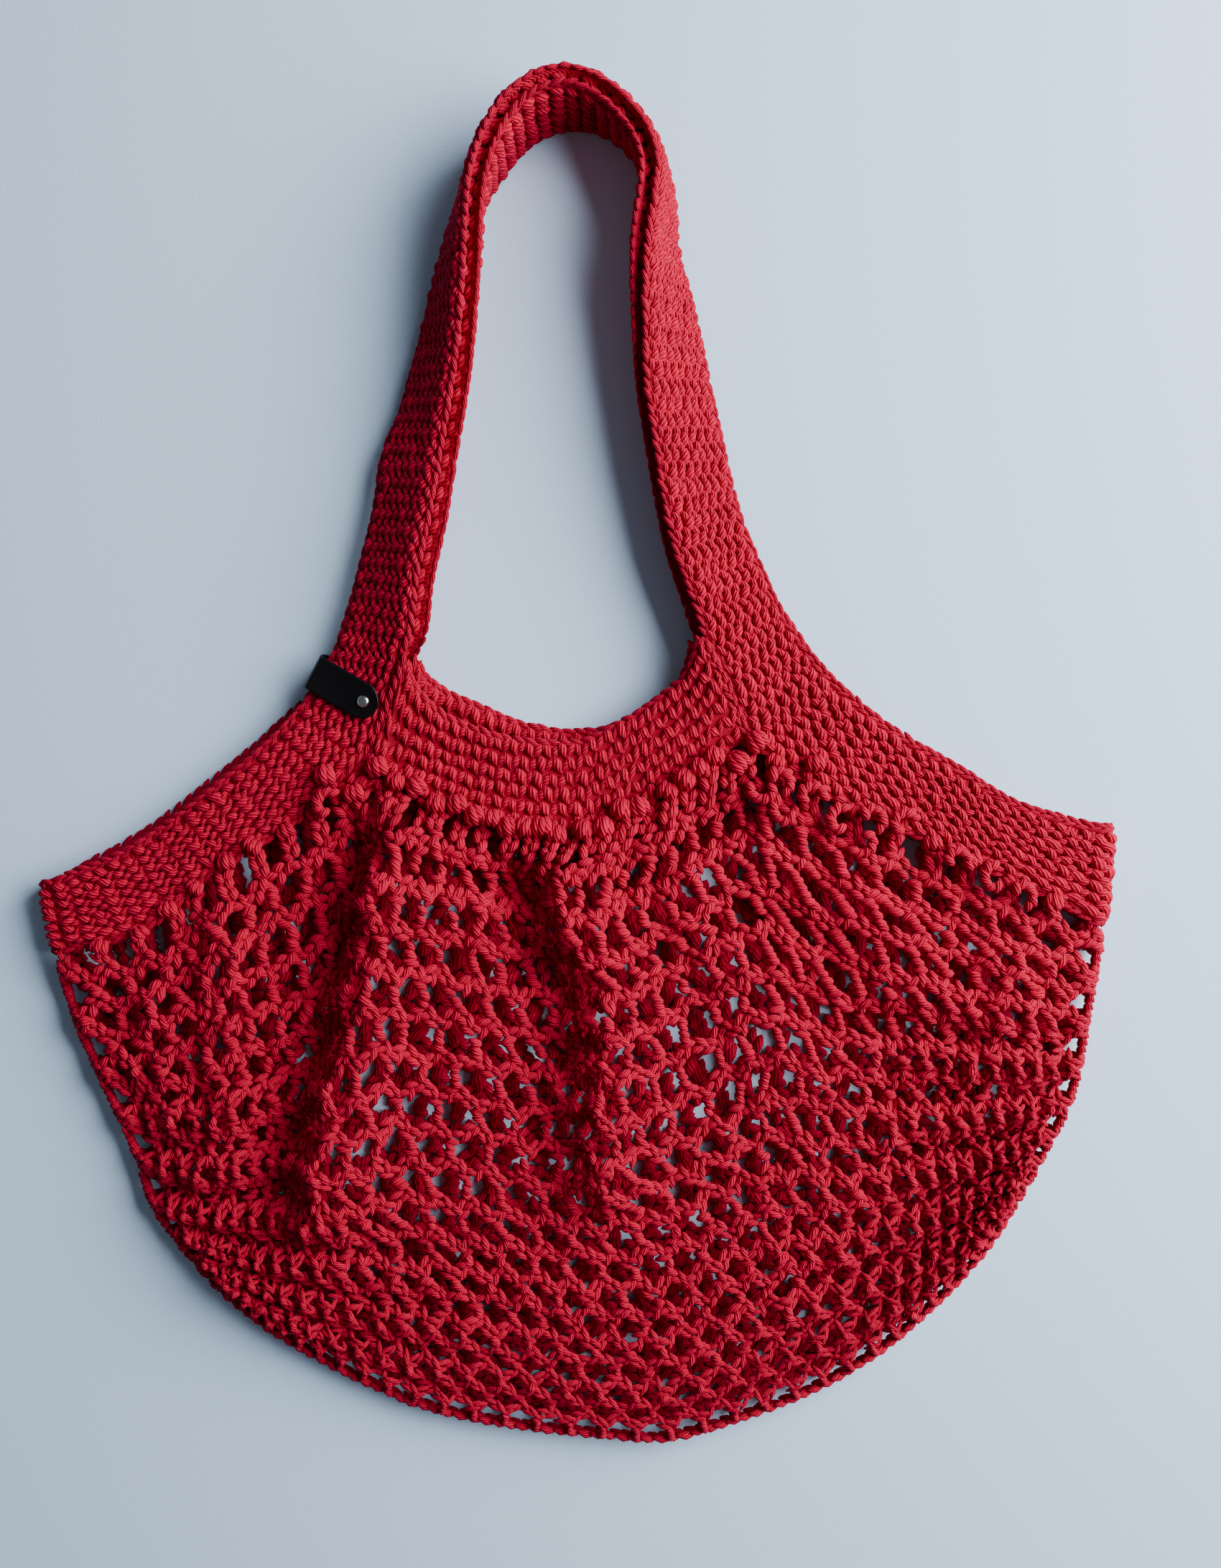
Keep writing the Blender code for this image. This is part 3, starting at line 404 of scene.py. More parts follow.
# Rims and foot of the yokes between the strap's inner edges. Columns: x, y and, for the rims,
# z of the mid-surface.
FRONT_NECKLINE = (
    (-71, 37.5, 19.5), (-64.5, 28.5, 16), (-53, 20.5, 14.3), (-41.5, 16, 13.7), (-30, 13, 13.3),
    (-17, 11.5, 13.25), (-4, 11, 13.25), (5, 12.5, 13.25), (13.5, 17, 13.3), (23, 22, 13.7),
    (35, 30, 15), (47, 40.5, 18),
)
BACK_NECKLINE = (
    (-65.5, 40.5, 9.5), (-57, 34, 5.5), (-43.5, 28, 3.4), (-28, 21, 2.75), (-13, 17.5, 2.75),
    (-1, 16.5, 2.75), (11, 17.5, 2.75), (21, 20.5, 2.75), (33.5, 28, 3.6), (46, 38.5, 7),
)
YOKE_FOOT = (
    (-87.5, -10), (-70.5, -12.5), (-52.5, -19), (-30.5, -25), (-9, -27.5), (11.5, -24.5),
    (27.5, -16.5), (46.5, -4.5), (60, 5),
)

# The net's outline as seen from above, from the left corner round the bottom to the right corner.
NET_OUTLINE = (
    (-231.5, -84), (-224, -108), (-217.5, -124), (-204.5, -152), (-196, -170), (-189.5, -192.5),
    (-175, -213), (-159, -231), (-140, -246), (-119, -259), (-94, -272), (-67, -283),
    (-41, -289), (-14, -293), (12, -295.5), (38.5, -297), (67.5, -289.5), (95, -279.5),
    (129, -261.5), (159, -237), (185.5, -207), (192.5, -196), (207.5, -170.5), (218.5, -148.5),
    (227, -107.5), (233, -71),
)
# Rows of that outline at which the net's lower left and lower right corners lie.
NET_CORNER_LEFT = 7
NET_CORNER_RIGHT = 21

# Soft folds in the front layer. Columns: three points of the crest, height, width of the left
# slope, width of the right slope.
NET_FOLDS = (
    ((-185, -81), (-182, -127), (-159, -180), 4, 10, 14),
    ((-156, -53), (-152, -109), (-150, -165), 7, 9, 12),
    ((-80, -22), (-94, -112), (-112, -180), 17, 8, 24),
    ((-50, -25), (-50, -87), (-47, -133), 4, 12, 14),
    ((-18, -30), (14, -102), (11, -171), 15, 8, 20),
    ((24, -20), (61, -81), (86, -127), 5, 12, 16),
    ((61, 0), (117, -56), (151, -96), 5, 12, 16),
    ((163, -37), (191, -87), (185, -133), 4, 12, 14),
)


def unit(vectors):
    """Return vectors, one a row, scaled to length 1."""
    lengths = np.linalg.norm(vectors, axis=-1, keepdims=True)
    return vectors / np.maximum(lengths, 1e-9)


def chord_knots(points):
    """Return the running length along a row of points."""
    steps = np.linalg.norm(np.diff(points, axis=0), axis=1)
    return np.concatenate([[0.0], np.cumsum(steps)])


def smooth(rows, knots, places):
    """Return a smooth curve through rows, whose places are knots, read at places."""
    rows = np.asarray(rows, float)
    knots = np.asarray(knots, float)
    places = np.clip(np.asarray(places, float), knots[0], knots[-1])
    slopes = np.gradient(rows, knots, axis=0)
    index = np.clip(np.searchsorted(knots, places, side="right") - 1, 0, len(knots) - 2)
    span = (knots[index + 1] - knots[index])[..., None]
    t = (places - knots[index])[..., None] / span
    start = (1 + 2 * t) * (1 - t) ** 2 * rows[index] + t * (1 - t) ** 2 * span * slopes[index]
    end = t * t * (3 - 2 * t) * rows[index + 1] - t * t * (1 - t) * span * slopes[index + 1]
    return start + end


def resample(points, count):
    """Return count points evenly spaced along a smooth curve through points."""
    points = np.asarray(points, float)
    knots = chord_knots(points)
    return smooth(points, knots, np.linspace(0.0, knots[-1], count))


STRAP_TABLE = np.array(FRONT_STRAP, float)
STRAP_MIDDLE = (STRAP_TABLE[:, 0:2] + STRAP_TABLE[:, 2:4]) / 2
STRAP_KNOTS = chord_knots(STRAP_MIDDLE)


def row_place(row):
    """Return the length along the strap at a row number of its table."""
    return float(np.interp(row, np.arange(len(STRAP_KNOTS)), STRAP_KNOTS))


def front_edges(places):
    """Return the outer edge, inner edge, gap and peek of the front strap at lengths along it."""
    rows = smooth(STRAP_TABLE, STRAP_KNOTS, places)
    run = np.hypot(rows[:, 2] - rows[:, 0], rows[:, 3] - rows[:, 1])
    lean = run / np.hypot(run, rows[:, 4])
    low = np.maximum(LEAST_EDGE, (1.5 * STRAP_THICK + rows[:, 5]) * lean)
    outer = np.column_stack([rows[:, 0], rows[:, 1], low])
    inner = np.column_stack([rows[:, 2], rows[:, 3], low + rows[:, 4]])
    return outer, inner, rows[:, 5], rows[:, 6]


def front_strap(places):
    """Return outer edge, inner edge, upward normal, gap and peek at lengths along the strap."""
    places = np.asarray(places, float)
    outer, inner, gap, peek = front_edges(places)
    ahead = front_edges(places + STRAP_HEADING_REACH)
    behind = front_edges(places - STRAP_HEADING_REACH)
    along = (ahead[0] + ahead[1]) - (behind[0] + behind[1])
    normal = unit(np.cross(inner - outer, along))
    return outer, inner, normal, gap, peek


def read_rows(rows, places, values):
    """Return rows, given at rising places, read at any array of values."""
    columns = [np.interp(values, places, rows[:, axis]) for axis in range(rows.shape[1])]
    return np.stack(columns, axis=-1)


def back_strap(places):
    """Return outer edge, inner edge and upward normal of the strap that lies beneath."""
    outer, inner, normal, gap, peek = front_strap(places)
    shift = -normal * (STRAP_THICK + gap)[:, None] - unit(inner - outer) * peek[:, None]
    return outer + shift, inner + shift, normal


def corner_turn(outer, inner, side):
    """Return the strap's edges and normals where it turns over at a corner, front to back."""
    across = unit(inner - outer)
    outward = side * np.cross(UP, across)
    radius = (FRONT_Z - BACK_STRAP_Z) / 2
    turn = np.radians(CORNER_ANGLES)[:, None]
    normal = outward * np.sin(turn) + UP * np.cos(turn)
    shift = normal * radius - UP * radius
    return outer + shift, inner + shift, normal


class StrapLoop:
    """The strap's mid-surface all round the bag, read by the length along it."""

    def __init__(self):
        places = np.linspace(0.0, STRAP_KNOTS[-1], STRAP_READINGS)
        outer, inner, normal = front_strap(places)[:3]
        under = back_strap(places[::-1])
        right = corner_turn(outer[-1], inner[-1], 1.0)
        left = [rows[::-1] for rows in corner_turn(outer[0], inner[0], -1.0)]
        parts = [(outer, inner, normal), right, (under[0], under[1], -under[2]), left]
        self.outer, self.inner, self.normal = (
            np.concatenate([part[index] for part in parts] + [parts[0][index][:1]])
            for index in range(3))
        self.run = chord_knots((self.outer + self.inner) / 2)
        self.length = self.run[-1]
        self.front_end = self.run[len(places) - 1]

    def edges(self, along):
        """Return outer edge, inner edge and normal at lengths along the loop."""
        along = np.mod(along, self.length)
        return (read_rows(self.outer, self.run, along), read_rows(self.inner, self.run, along),
                unit(read_rows(self.normal, self.run, along)))

    def at(self, along, down, level):
        """Return points at lengths along the loop and down from its outer edge, raised by level."""
        outer, inner, normal = self.edges(along)
        down, level = np.asarray(down)[..., None], np.asarray(level)[..., None]
        return outer + unit(inner - outer) * down + normal * level

    def width(self, along):
        """Return the strap's width at lengths along the loop."""
        outer, inner = self.edges(along)[:2]
        return np.linalg.norm(inner - outer, axis=-1)


def fill_edges(top, foot, left, right, across, down):
    """Return the grid of points that fills four edges, read at the shares across and down."""
    u = np.asarray(across)[:, None, None]
    v = np.asarray(down)[None, :, None]
    ruled = (1 - v) * top[:, None, :] + v * foot[:, None, :]
    left_bend = left[None, :, :] - ((1 - v) * left[0] + v * left[-1])
    right_bend = right[None, :, :] - ((1 - v) * right[0] + v * right[-1])
    return ruled + (1 - u) ** END_FADE * left_bend + u ** END_FADE * right_bend


def seam_points(strap, top_row, foot_row, shares):
    """Return points just clear of the strap's inner edge, from a yoke's rim to its foot."""
    places = row_place(top_row) + (row_place(foot_row) - row_place(top_row)) * np.asarray(shares)
    outer, inner = strap(places)[:2]
    gap = SEAM_GAP_AT_RIM + (SEAM_GAP - SEAM_GAP_AT_RIM) * np.asarray(shares)[:, None]
    return inner + unit(inner - outer) * gap


class Yoke:
    """The curved panel between the strap's two legs, read by the shares across and down it."""

    def __init__(self, strap, neckline, foot_z):
        self.across, self.down = (np.linspace(0.0, 1.0, count) for count in YOKE_READINGS)
        left = seam_points(strap, YOKE_TOP_LEFT, YOKE_FOOT_LEFT, self.down)
        right = seam_points(strap, YOKE_TOP_RIGHT, YOKE_FOOT_RIGHT, self.down)
        foot_rows = [(x, y, foot_z) for x, y in YOKE_FOOT]
        top = resample([left[0], *neckline, right[0]], len(self.across))
        foot = resample([left[-1], *foot_rows, right[-1]], len(self.across))
        self.grid = fill_edges(top, foot, left, right, self.across, self.down)
        slope_u = np.gradient(self.grid, axis=0)
        slope_v = np.gradient(self.grid, axis=1)
        self.normal = unit(np.cross(slope_v, slope_u))
        self.rows = np.linalg.norm(np.diff(self.grid, axis=0), axis=-1).sum(axis=0)
        self.depths = np.linalg.norm(np.diff(self.grid, axis=1), axis=-1).sum(axis=1)

    def length(self, down):
        """Return the panel's length across at shares down it."""
        return np.interp(down, self.down, self.rows)

    def depth(self, across):
        """Return the panel's depth at shares across it."""
        return np.interp(across, self.across, self.depths)

    def read(self, grid, across, down):
        """Return a grid read between its points at shares across and down."""
        across, down = np.broadcast_arrays(across, down)
        i = np.clip(across, 0.0, 1.0) * (len(self.across) - 1)
        j = np.clip(down, 0.0, 1.0) * (len(self.down) - 1)
        i0 = np.minimum(i.astype(int), len(self.across) - 2)
        j0 = np.minimum(j.astype(int), len(self.down) - 2)
        s, t = (i - i0)[..., None], (j - j0)[..., None]
        near = (1 - t) * grid[i0, j0] + t * grid[i0, j0 + 1]
        far = (1 - t) * grid[i0 + 1, j0] + t * grid[i0 + 1, j0 + 1]
        return (1 - s) * near + s * far

    def at(self, across, down, level):
        """Return points at shares across and down the panel, raised by level."""
        raised = self.read(self.normal, across, down) * np.asarray(level)[..., None]
        return self.read(self.grid, across, down) + raised


def crest_distance(places, crest):
    """Return the distance from places to a crest line, and the side that they are on."""
    best = np.full(places.shape[:-1], 1e9)
    side = np.ones(places.shape[:-1])
    for start, end in zip(crest[:-1], crest[1:]):
        run = np.subtract(end, start)
        away = places - start
        share = np.clip(away @ run / (run @ run), 0.0, 1.0)
        distance = np.linalg.norm(away - share[..., None] * run, axis=-1)
        turn = run[0] * away[..., 1] - run[1] * away[..., 0]
        side = np.where(distance < best, np.sign(turn), side)
        best = np.minimum(best, distance)
    return best, side


def fold_height(places):
    """Return how high the front layer's folds stand at places."""
    total = np.zeros(places.shape[:-1])
    for first, middle, last, height, left_width, right_width in NET_FOLDS:
        distance, side = crest_distance(places, (first, middle, last))
        width = np.where(side > 0, right_width, left_width)
        total += height * np.exp(-(distance / width) ** 2)
    for first, middle, last, depth, width in NET_VALLEYS:
        distance = crest_distance(places, (first, middle, last))[0]
        total -= depth * np.exp(-(distance / width) ** 2)
    return total


def row_at(row):
    """Return the length along the strap's loop at a row number of the front strap's table."""
    return STRAP.front_end * row_place(row) / STRAP_KNOTS[-1]


def ease(value):
    """Return a soft step from 0 to 1."""
    value = np.clip(value, 0.0, 1.0)
    return value * value * (3 - 2 * value)


def gathering(points):
    """Return for each crossing how much the net is gathered there, from 0 to 1."""
    spacing = np.linalg.norm(np.gradient(points, axis=0), axis=-1)
    return np.clip((GATHER_FROM - spacing) / (GATHER_FROM - GATHER_TO), 0.0, 1.0)


def row_room(points):
    """Return for each crossing the share of its full thickness that rows leave a strand."""
    pitch = np.linalg.norm(np.gradient(points, axis=1), axis=-1)
    return np.clip(pitch / TIGHT_ROW, TIGHT_SLIM, 1.0)


def inside_share(k, m, top_rows, foot_rows, side_columns):
    """Return 0 on the net's edges, rising softly to 1 within so many rows and half columns."""
    inside = ease(m / top_rows) * ease((NET_ROWS - m) / foot_rows)
    return inside * ease(k / side_columns) * ease((2 * NET_COLUMNS - k) / side_columns)


def net_top(strap, foot_z):
    """Return the net's top edge: under the left band, under the yoke, under the right band."""
    left_places = row_place(YOKE_FOOT_LEFT) * np.linspace(0.0, 1.0, LEFT_BAND_STEPS + 1)
    right_steps = 2 * NET_COLUMNS - LEFT_BAND_STEPS - YOKE_STEPS
    right_places = np.linspace(row_place(YOKE_FOOT_RIGHT), STRAP_KNOTS[-1], right_steps + 1)
    left, right = strap(left_places)[1], strap(right_places)[1]
    foot_rows = [(x, y, foot_z) for x, y in YOKE_FOOT]
    middle = resample([left[-1], *foot_rows, right[0]], YOKE_STEPS + 1)
    top = np.concatenate([left, middle[1:-1], right])
    top[:, 2] = foot_z
    return top


class NetLayer:
    """One layer of the net: where its crossings lie."""

    def __init__(self, front):
        self.front = front
        self.level = FRONT_Z if front else BACK_NET_Z
        self.top = net_top(front_strap if front else back_strap, self.level)[:, :2]
        self.top_share = chord_knots(self.top) / chord_knots(self.top)[-1]
        outline = np.array(NET_OUTLINE, float)
        along = unit(np.gradient(outline, chord_knots(outline), axis=0))
        reach = (FRONT_Z - BACK_NET_Z + NET_THICK) / 2
        edge = outline + np.column_stack([-along[:, 1], along[:, 0]]) * reach
        edge[0], edge[-1] = self.top[0], self.top[-1]
        self.sides = [resample(line, NET_SIDE_READINGS) for line in (
            edge[:NET_CORNER_LEFT + 1], edge[NET_CORNER_LEFT:NET_CORNER_RIGHT + 1],
            edge[NET_CORNER_RIGHT:][::-1])]
        self.shares = np.linspace(0.0, 1.0, NET_SIDE_READINGS)
        self.columns = np.arange(2 * NET_COLUMNS + 1.0)
        self.shift = self.drape_shift()
        self.over = None if front else NetLayer(True)

    def plan(self, k, m):
        """Return x and y at half column k and row m of the net before it drapes over its folds."""
        left, foot, right = self.sides
        u, v = k / (2 * NET_COLUMNS), np.minimum(1.0, m / (NET_ROWS - FOOT_SQUEEZE))
        crowd = ROW_CROWDING + SIDE_CROWDING * (2 * u - 1) ** 2
        low = (1 - crowd) * v + crowd * np.sin(np.pi * v / 2)
        foot_share = (1 - FOOT_CROWDING) * u + FOOT_CROWDING * (1 - np.cos(np.pi * u)) / 2
        middle_share = np.interp(u, *zip(*MIDDLE_SHARES))
        top_share = np.interp(k, self.columns, self.top_share)
        towards = np.minimum(1.0, low / MIDDLE_LEVEL)
        across = (1 - towards) * top_share + towards * middle_share
        towards = np.clip((low - MIDDLE_LEVEL) / (1 - MIDDLE_LEVEL), 0.0, 1.0)
        across = (1 - towards) * across + towards * foot_share
        share, low = across[..., None], low[..., None]
        ruled = (1 - low) * read_rows(self.top, self.top_share, across)
        ruled = ruled + low * read_rows(foot, self.shares, across)
        ruled = ruled + (1 - share) * read_rows(left, self.shares, low[..., 0])
        ruled = ruled + share * read_rows(right, self.shares, low[..., 0])
        corners = (1 - share) * (1 - low) * self.top[0] + share * (1 - low) * self.top[-1]
        return ruled - corners - (1 - share) * low * foot[0] - share * low * foot[-1]

    def height(self, places, k, m):
        """Return the layer's height at places."""
        if not self.front:
            return np.full(places.shape[:-1], self.level)
        return self.level + inside_share(k, m, *FOLD_EDGES) * (FRONT_PUFF + fold_height(places))

    def drape_shift(self):
        """Return for each crossing the half column to read, so that steep slopes take up length."""
        k, m = np.meshgrid(self.columns, np.arange(NET_ROWS + 1.0), indexing="ij")
        flat = self.plan(k, m)
        steps = np.linalg.norm(np.diff(flat, axis=0), axis=-1)
        rises = np.diff(self.height(flat, k, m), axis=0) * PLEAT_TAKE
        shift = k.copy()
        for line in range(1, NET_ROWS):
            flat_run = np.concatenate([[0.0], np.cumsum(steps[:, line])])
            drape_run = np.concatenate([[0.0], np.cumsum(np.hypot(steps[:, line], rises[:, line]))])
            wanted = flat_run / flat_run[-1] * drape_run[-1]
            shift[:, line] = np.interp(wanted, drape_run, self.columns)
        return shift

    def under(self, k, m):
        """Return points of the back layer: flat, and a row off the front layer's."""
        inside = inside_share(k, m, *OFFSET_EDGES)
        places = self.over.point(k, np.minimum(m + inside, NET_ROWS))[..., :2]
        hung = read_rows(self.top - self.over.top, self.columns, k)
        places = places + hung * ease(1 - m / HANG_ROWS)[..., None]
        (rate_x, start_x), (rate_y, start_y) = SWAY_WAVES
        sway = np.stack([np.sin(places[..., 1] * rate_x + start_x),
                         np.sin(places[..., 0] * rate_y + start_y)], axis=-1)
        places = places + inside[..., None] * sway * BACK_SWAY
        return np.concatenate([places, np.full((*k.shape, 1), self.level)], axis=-1)

    def point(self, k, m):
        """Return the points at half columns k and rows m."""
        if self.over is not None:
            return self.under(k, m)
        low = np.clip(m, 0, NET_ROWS - 1e-6)
        row = low.astype(int)
        share = low - row
        column = k.astype(int)
        k = (1 - share) * self.shift[column, row] + share * self.shift[column, row + 1]
        places = self.plan(k, m)
        return np.concatenate([places, self.height(places, k, m)[..., None]], axis=-1)

    def crossings(self, jitter):
        """Return every crossing, indexed by half column and line, with the zigzag of the lines."""
        k, m = np.meshgrid(self.columns, np.arange(NET_ROWS + 1.0), indexing="ij")
        plain = self.point(k, m)
        spacing = np.linalg.norm(np.gradient(plain, axis=0), axis=-1)
        pitch = np.linalg.norm(np.gradient(plain, axis=1), axis=-1)
        slack = np.sqrt(np.maximum(HALF_CELL_CHAIN ** 2 - spacing ** 2, 0.0)) / 2
        rise = np.clip(slack / pitch, *ZIGZAG_LIMITS) * np.where((k + m) % 2 == 0, 1.0, -1.0)
        rise[:, 0] = rise[:, -1] = 0.0
        points = self.point(k, m + rise)
        crowd = gathering(plain)
        inner = np.zeros(k.shape)
        inner[1:-1, 1:-1] = 1.0
        if self.front:
            points[..., 2] += inner * crowd * GATHER_RISE * np.where(k % 2 == 0, 1.0, -1.0)
        wobble = jitter.normal(0.0, 1.0, points.shape) * NET_WOBBLE
        return points + wobble * (inner * row_room(plain) ** 2)[..., None]


def fold_crossings(front, back, side):
    """Return the crossings on the net's side fold, halfway between the two layers' ends."""
    ends = (front[side] + back[side]) / 2
    along = unit(np.gradient(front[side][:, :2], axis=0))
    turn = 1.0 if side == 0 else -1.0
    outward = turn * np.column_stack([along[:, 1], -along[:, 0], np.zeros(len(along))])
    shift = np.where(np.arange(len(along)) % 2 == 0, -1.0, 1.0)[:, None] * along * FOLD_ZIGZAG
    points = ends + outward * FOLD_RADIUS
    points[1:-1, :2] += shift[1:-1]
    return points, outward


class Shape:
    """A small shape to copy: its points, faces and yarn coordinates (round it, along it)."""

    def __init__(self, piece):
        mesh = piece.data
        points = np.empty(len(mesh.vertices) * 3)
        mesh.vertices.foreach_get("co", points)
        self.points = points.reshape(-1, 3)
        self.loops = np.empty(len(mesh.loops), int)
        mesh.loops.foreach_get("vertex_index", self.loops)
        self.totals = np.array([len(face.vertices) for face in mesh.polygons])
        uvs = np.empty(len(mesh.loops) * 2)
        mesh.uv_layers.active.data.foreach_get("uv", uvs)
        self.uvs = uvs.reshape(-1, 2)
        bpy.data.objects.remove(piece, do_unlink=True)


def pick_points(piece, test):
    """Select in edit mode the points of a piece that pass a test of their place."""
    bpy.ops.object.mode_set(mode="EDIT")
    bpy.ops.mesh.select_mode(type="VERT")
    bpy.ops.mesh.select_all(action="DESELECT")
    bpy.ops.object.mode_set(mode="OBJECT")
    for vertex in piece.data.vertices:
        vertex.select = test(vertex.co)
    bpy.ops.object.mode_set(mode="EDIT")


def model_grain(segments, rings, tail, droop):
    """Model a grain of yarn, 1 long and 1 wide: thinner at its tail, both ends bent down."""
    bpy.ops.object.select_all(action="DESELECT")
    bpy.ops.mesh.primitive_uv_sphere_add(
        segments=segments, ring_count=rings, radius=0.5, rotation=(0.0, math.pi / 2, 0.0))
    piece = bpy.context.object
    bpy.ops.object.transform_apply(location=False, rotation=True, scale=False)
    pick_points(piece, lambda place: place.x < -TAIL_START)
    bpy.ops.transform.resize(value=(1.0, tail, tail), center_override=(-GRAIN_BEND, 0.0, 0.0))
    pick_points(piece, lambda place: abs(place.x) > GRAIN_BEND)
    bpy.ops.transform.translate(value=(0.0, 0.0, -droop))
    bpy.ops.object.mode_set(mode="OBJECT")
    return Shape(piece)


def in_metres(points):
    """Return points in metres in the part's frame, none of them too close to the floor."""
    points = (points + CENTRE_SHIFT) * MM
    points[:, 2] = np.maximum(points[:, 2], LEAST_HEIGHT * MM)
    return points


def sizes_of(count, length, width, thick):
    """Return count rows of sizes, each size given as a number or as an array."""
    return np.column_stack([np.broadcast_to(size, count) for size in (length, width, thick)])


class Pile:
    """Copies of small shapes, gathered to become one piece."""

    def __init__(self, seed):
        self.random = np.random.default_rng(seed)
        self.points = []
        self.loops = []
        self.totals = []
        self.uvs = []
        self.tones = []
        self.count = 0

    def uneven(self, sizes, swell):
        """Return rows of sizes, each row larger or smaller by about the share swell."""
        return sizes * (1.0 + self.random.normal(0.0, swell, (len(sizes), 1)))

    def add(self, shape, points, lengths):
        """Add copies of a shape. points is one row of placed points for each copy."""
        copies, size = points.shape[:2]
        starts = self.count + np.arange(copies) * size
        self.points.append(points.reshape(-1, 3))
        self.loops.append((starts[:, None] + shape.loops).ravel())
        self.totals.append(np.tile(shape.totals, copies))
        uvs = np.tile(shape.uvs, (copies, 1, 1))
        lengths = np.broadcast_to(np.asarray(lengths, float), (copies,))
        starts_along = self.random.uniform(0, YARN_START, (copies, 1))
        uvs[:, :, 1] = uvs[:, :, 1] * lengths[:, None] + starts_along
        self.uvs.append(uvs.reshape(-1, 2))
        self.tones.append(np.repeat(self.random.normal(0.0, 1.0, copies), size))
        self.count += copies * size

    def place(self, shape, centres, along, normal, sizes):
        """Add rigid copies of a shape: x along, z towards normal, scaled by sizes."""
        along = unit(along)
        side = unit(np.cross(normal, along))
        lift = np.cross(along, side)
        sizes = np.broadcast_to(np.asarray(sizes, float), (len(centres), 3))
        local = shape.points[None] * sizes[:, None, :]
        placed = centres[:, None] + local[..., 0:1] * along[:, None]
        placed = placed + local[..., 1:2] * side[:, None] + local[..., 2:3] * lift[:, None]
        self.add(shape, placed, sizes[:, 0])

    def finish(self, name, slot):
        """Make the piece from the copies gathered so far, in the slot's yarn."""
        mesh = bpy.data.meshes.new(name)
        points = in_metres(np.concatenate(self.points))
        loops = np.concatenate(self.loops)
        totals = np.concatenate(self.totals)
        mesh.vertices.add(len(points))
        mesh.vertices.foreach_set("co", points.ravel())
        mesh.loops.add(len(loops))
        mesh.loops.foreach_set("vertex_index", loops.astype(np.int32))
        mesh.polygons.add(len(totals))
        starts = np.concatenate([[0], np.cumsum(totals)[:-1]])
        mesh.polygons.foreach_set("loop_start", starts.astype(np.int32))
        mesh.uv_layers.new(name="yarn")
        mesh.uv_layers["yarn"].data.foreach_set("uv", np.concatenate(self.uvs).ravel())
        tone_and_under_shade = mesh.attributes.new("tone_and_under_shade", "FLOAT", "POINT")
        tone_and_under_shade.data.foreach_set("value", np.concatenate(self.tones))
        mesh.update(calc_edges=True)
        mesh.validate()
        mesh.shade_smooth()
        mesh.materials.append(yarn(slot))
        piece = bpy.data.objects.new(name, mesh)
        bpy.context.collection.objects.link(piece)
        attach(piece, "root")
        return piece


def round_corners(path, times):
    """Return paths with their corners cut off, keeping both ends."""
    for _ in range(times):
        near = 0.75 * path[:, :-1] + 0.25 * path[:, 1:]
        far = 0.25 * path[:, :-1] + 0.75 * path[:, 1:]
        middle = np.stack([near, far], axis=2).reshape(len(path), -1, path.shape[-1])
        path = np.concatenate([path[:, :1], middle[:, 1:-1], path[:, -1:]], axis=1)
    return path


def strand_frame(path, normals, places):
    """Return centre, heading, side and upward direction at lengths along a path."""
    run = chord_knots(path)
    along = unit(read_rows(path, run, np.minimum(places + HEADING_REACH, run[-1]))
                 - read_rows(path, run, np.maximum(places - HEADING_REACH, 0.0)))
    side = unit(np.cross(read_rows(normals, run, places), along))
    return read_rows(path, run, places), along, side, np.cross(along, side)


def lay_chain(pile, shape, path, normals, pitch, width, lean=CHAIN_SLANT):
    """Lay a crocheted chain along a path: two rows of slanted grains, half a step apart."""
    run = chord_knots(path)
    widths = np.broadcast_to(width, run.shape)
    count = max(2, int(round(run[-1] / pitch)))
    step = run[-1] / count
    for turn in (-1.0, 1.0):
        places = (np.arange(count) + 0.5 + 0.25 * turn) * step
        places = places + pile.random.normal(0.0, GRAIN_SLIP, count)
        centre, along, side, normal = strand_frame(path, normals, places)
        slant = np.radians(lean + pile.random.normal(0.0, GRAIN_TURN, count))[:, None]
        heading = along * np.cos(slant) - side * turn * np.sin(slant) + normal * GRAIN_RISE
        wide = np.interp(places, run, widths)
        sizes = sizes_of(count, step * GRAIN_LENGTH, wide * GRAIN_WIDTH, wide * GRAIN_THICK)
        sizes = pile.uneven(sizes, GRAIN_SWELL)
        centre = centre + side * (turn * wide * GRAIN_ASIDE)[:, None]
        pile.place(shape, centre, heading, normal, sizes)


def lay_cord(pile, shape, path, normals, width, lean=CORD_SLANT):
    """Lay a twisted cord along a path: one row of short slanted grains."""
    length = chord_knots(path)[-1]
    count = max(2, int(round(length / (width * CORD_STEP))))
    places = (np.arange(count) + 0.5) * length / count
    centre, along, side, normal = strand_frame(path, normals, places)
    slant = np.radians(lean + pile.random.normal(0.0, CORD_GRAIN_TURN, count))[:, None]
    heading = along * np.cos(slant) + side * np.sin(slant)
    swell = 1.0 + pile.random.normal(0.0, CORD_GRAIN_SWELL, count)
    pile.place(shape, centre, heading, normal, np.outer(swell, CORD_GRAIN) * width)


def lay_stitches(pile, shape, surface, along, down, sizes, slants, level, scale=(1.0, 1.0)):
    """Lay stitches on a surface, bent with it, at places along and down it."""
    cosine, sine = np.cos(slants)[:, None], np.sin(slants)[:, None]
    x = shape.points[None, :, 0] * sizes[:, 0:1]
    y = shape.points[None, :, 1] * sizes[:, 1:2]
    z = shape.points[None, :, 2] * sizes[:, 2:3]
    scale_along, scale_down = (np.broadcast_to(value, along.shape)[:, None] for value in scale)
    read_along = along[:, None] + (x * cosine - y * sine) / scale_along
    read_down = down[:, None] + (x * sine + y * cosine) / scale_down
    pile.add(shape, surface.at(read_along, read_down, level + z), sizes[:, 0])


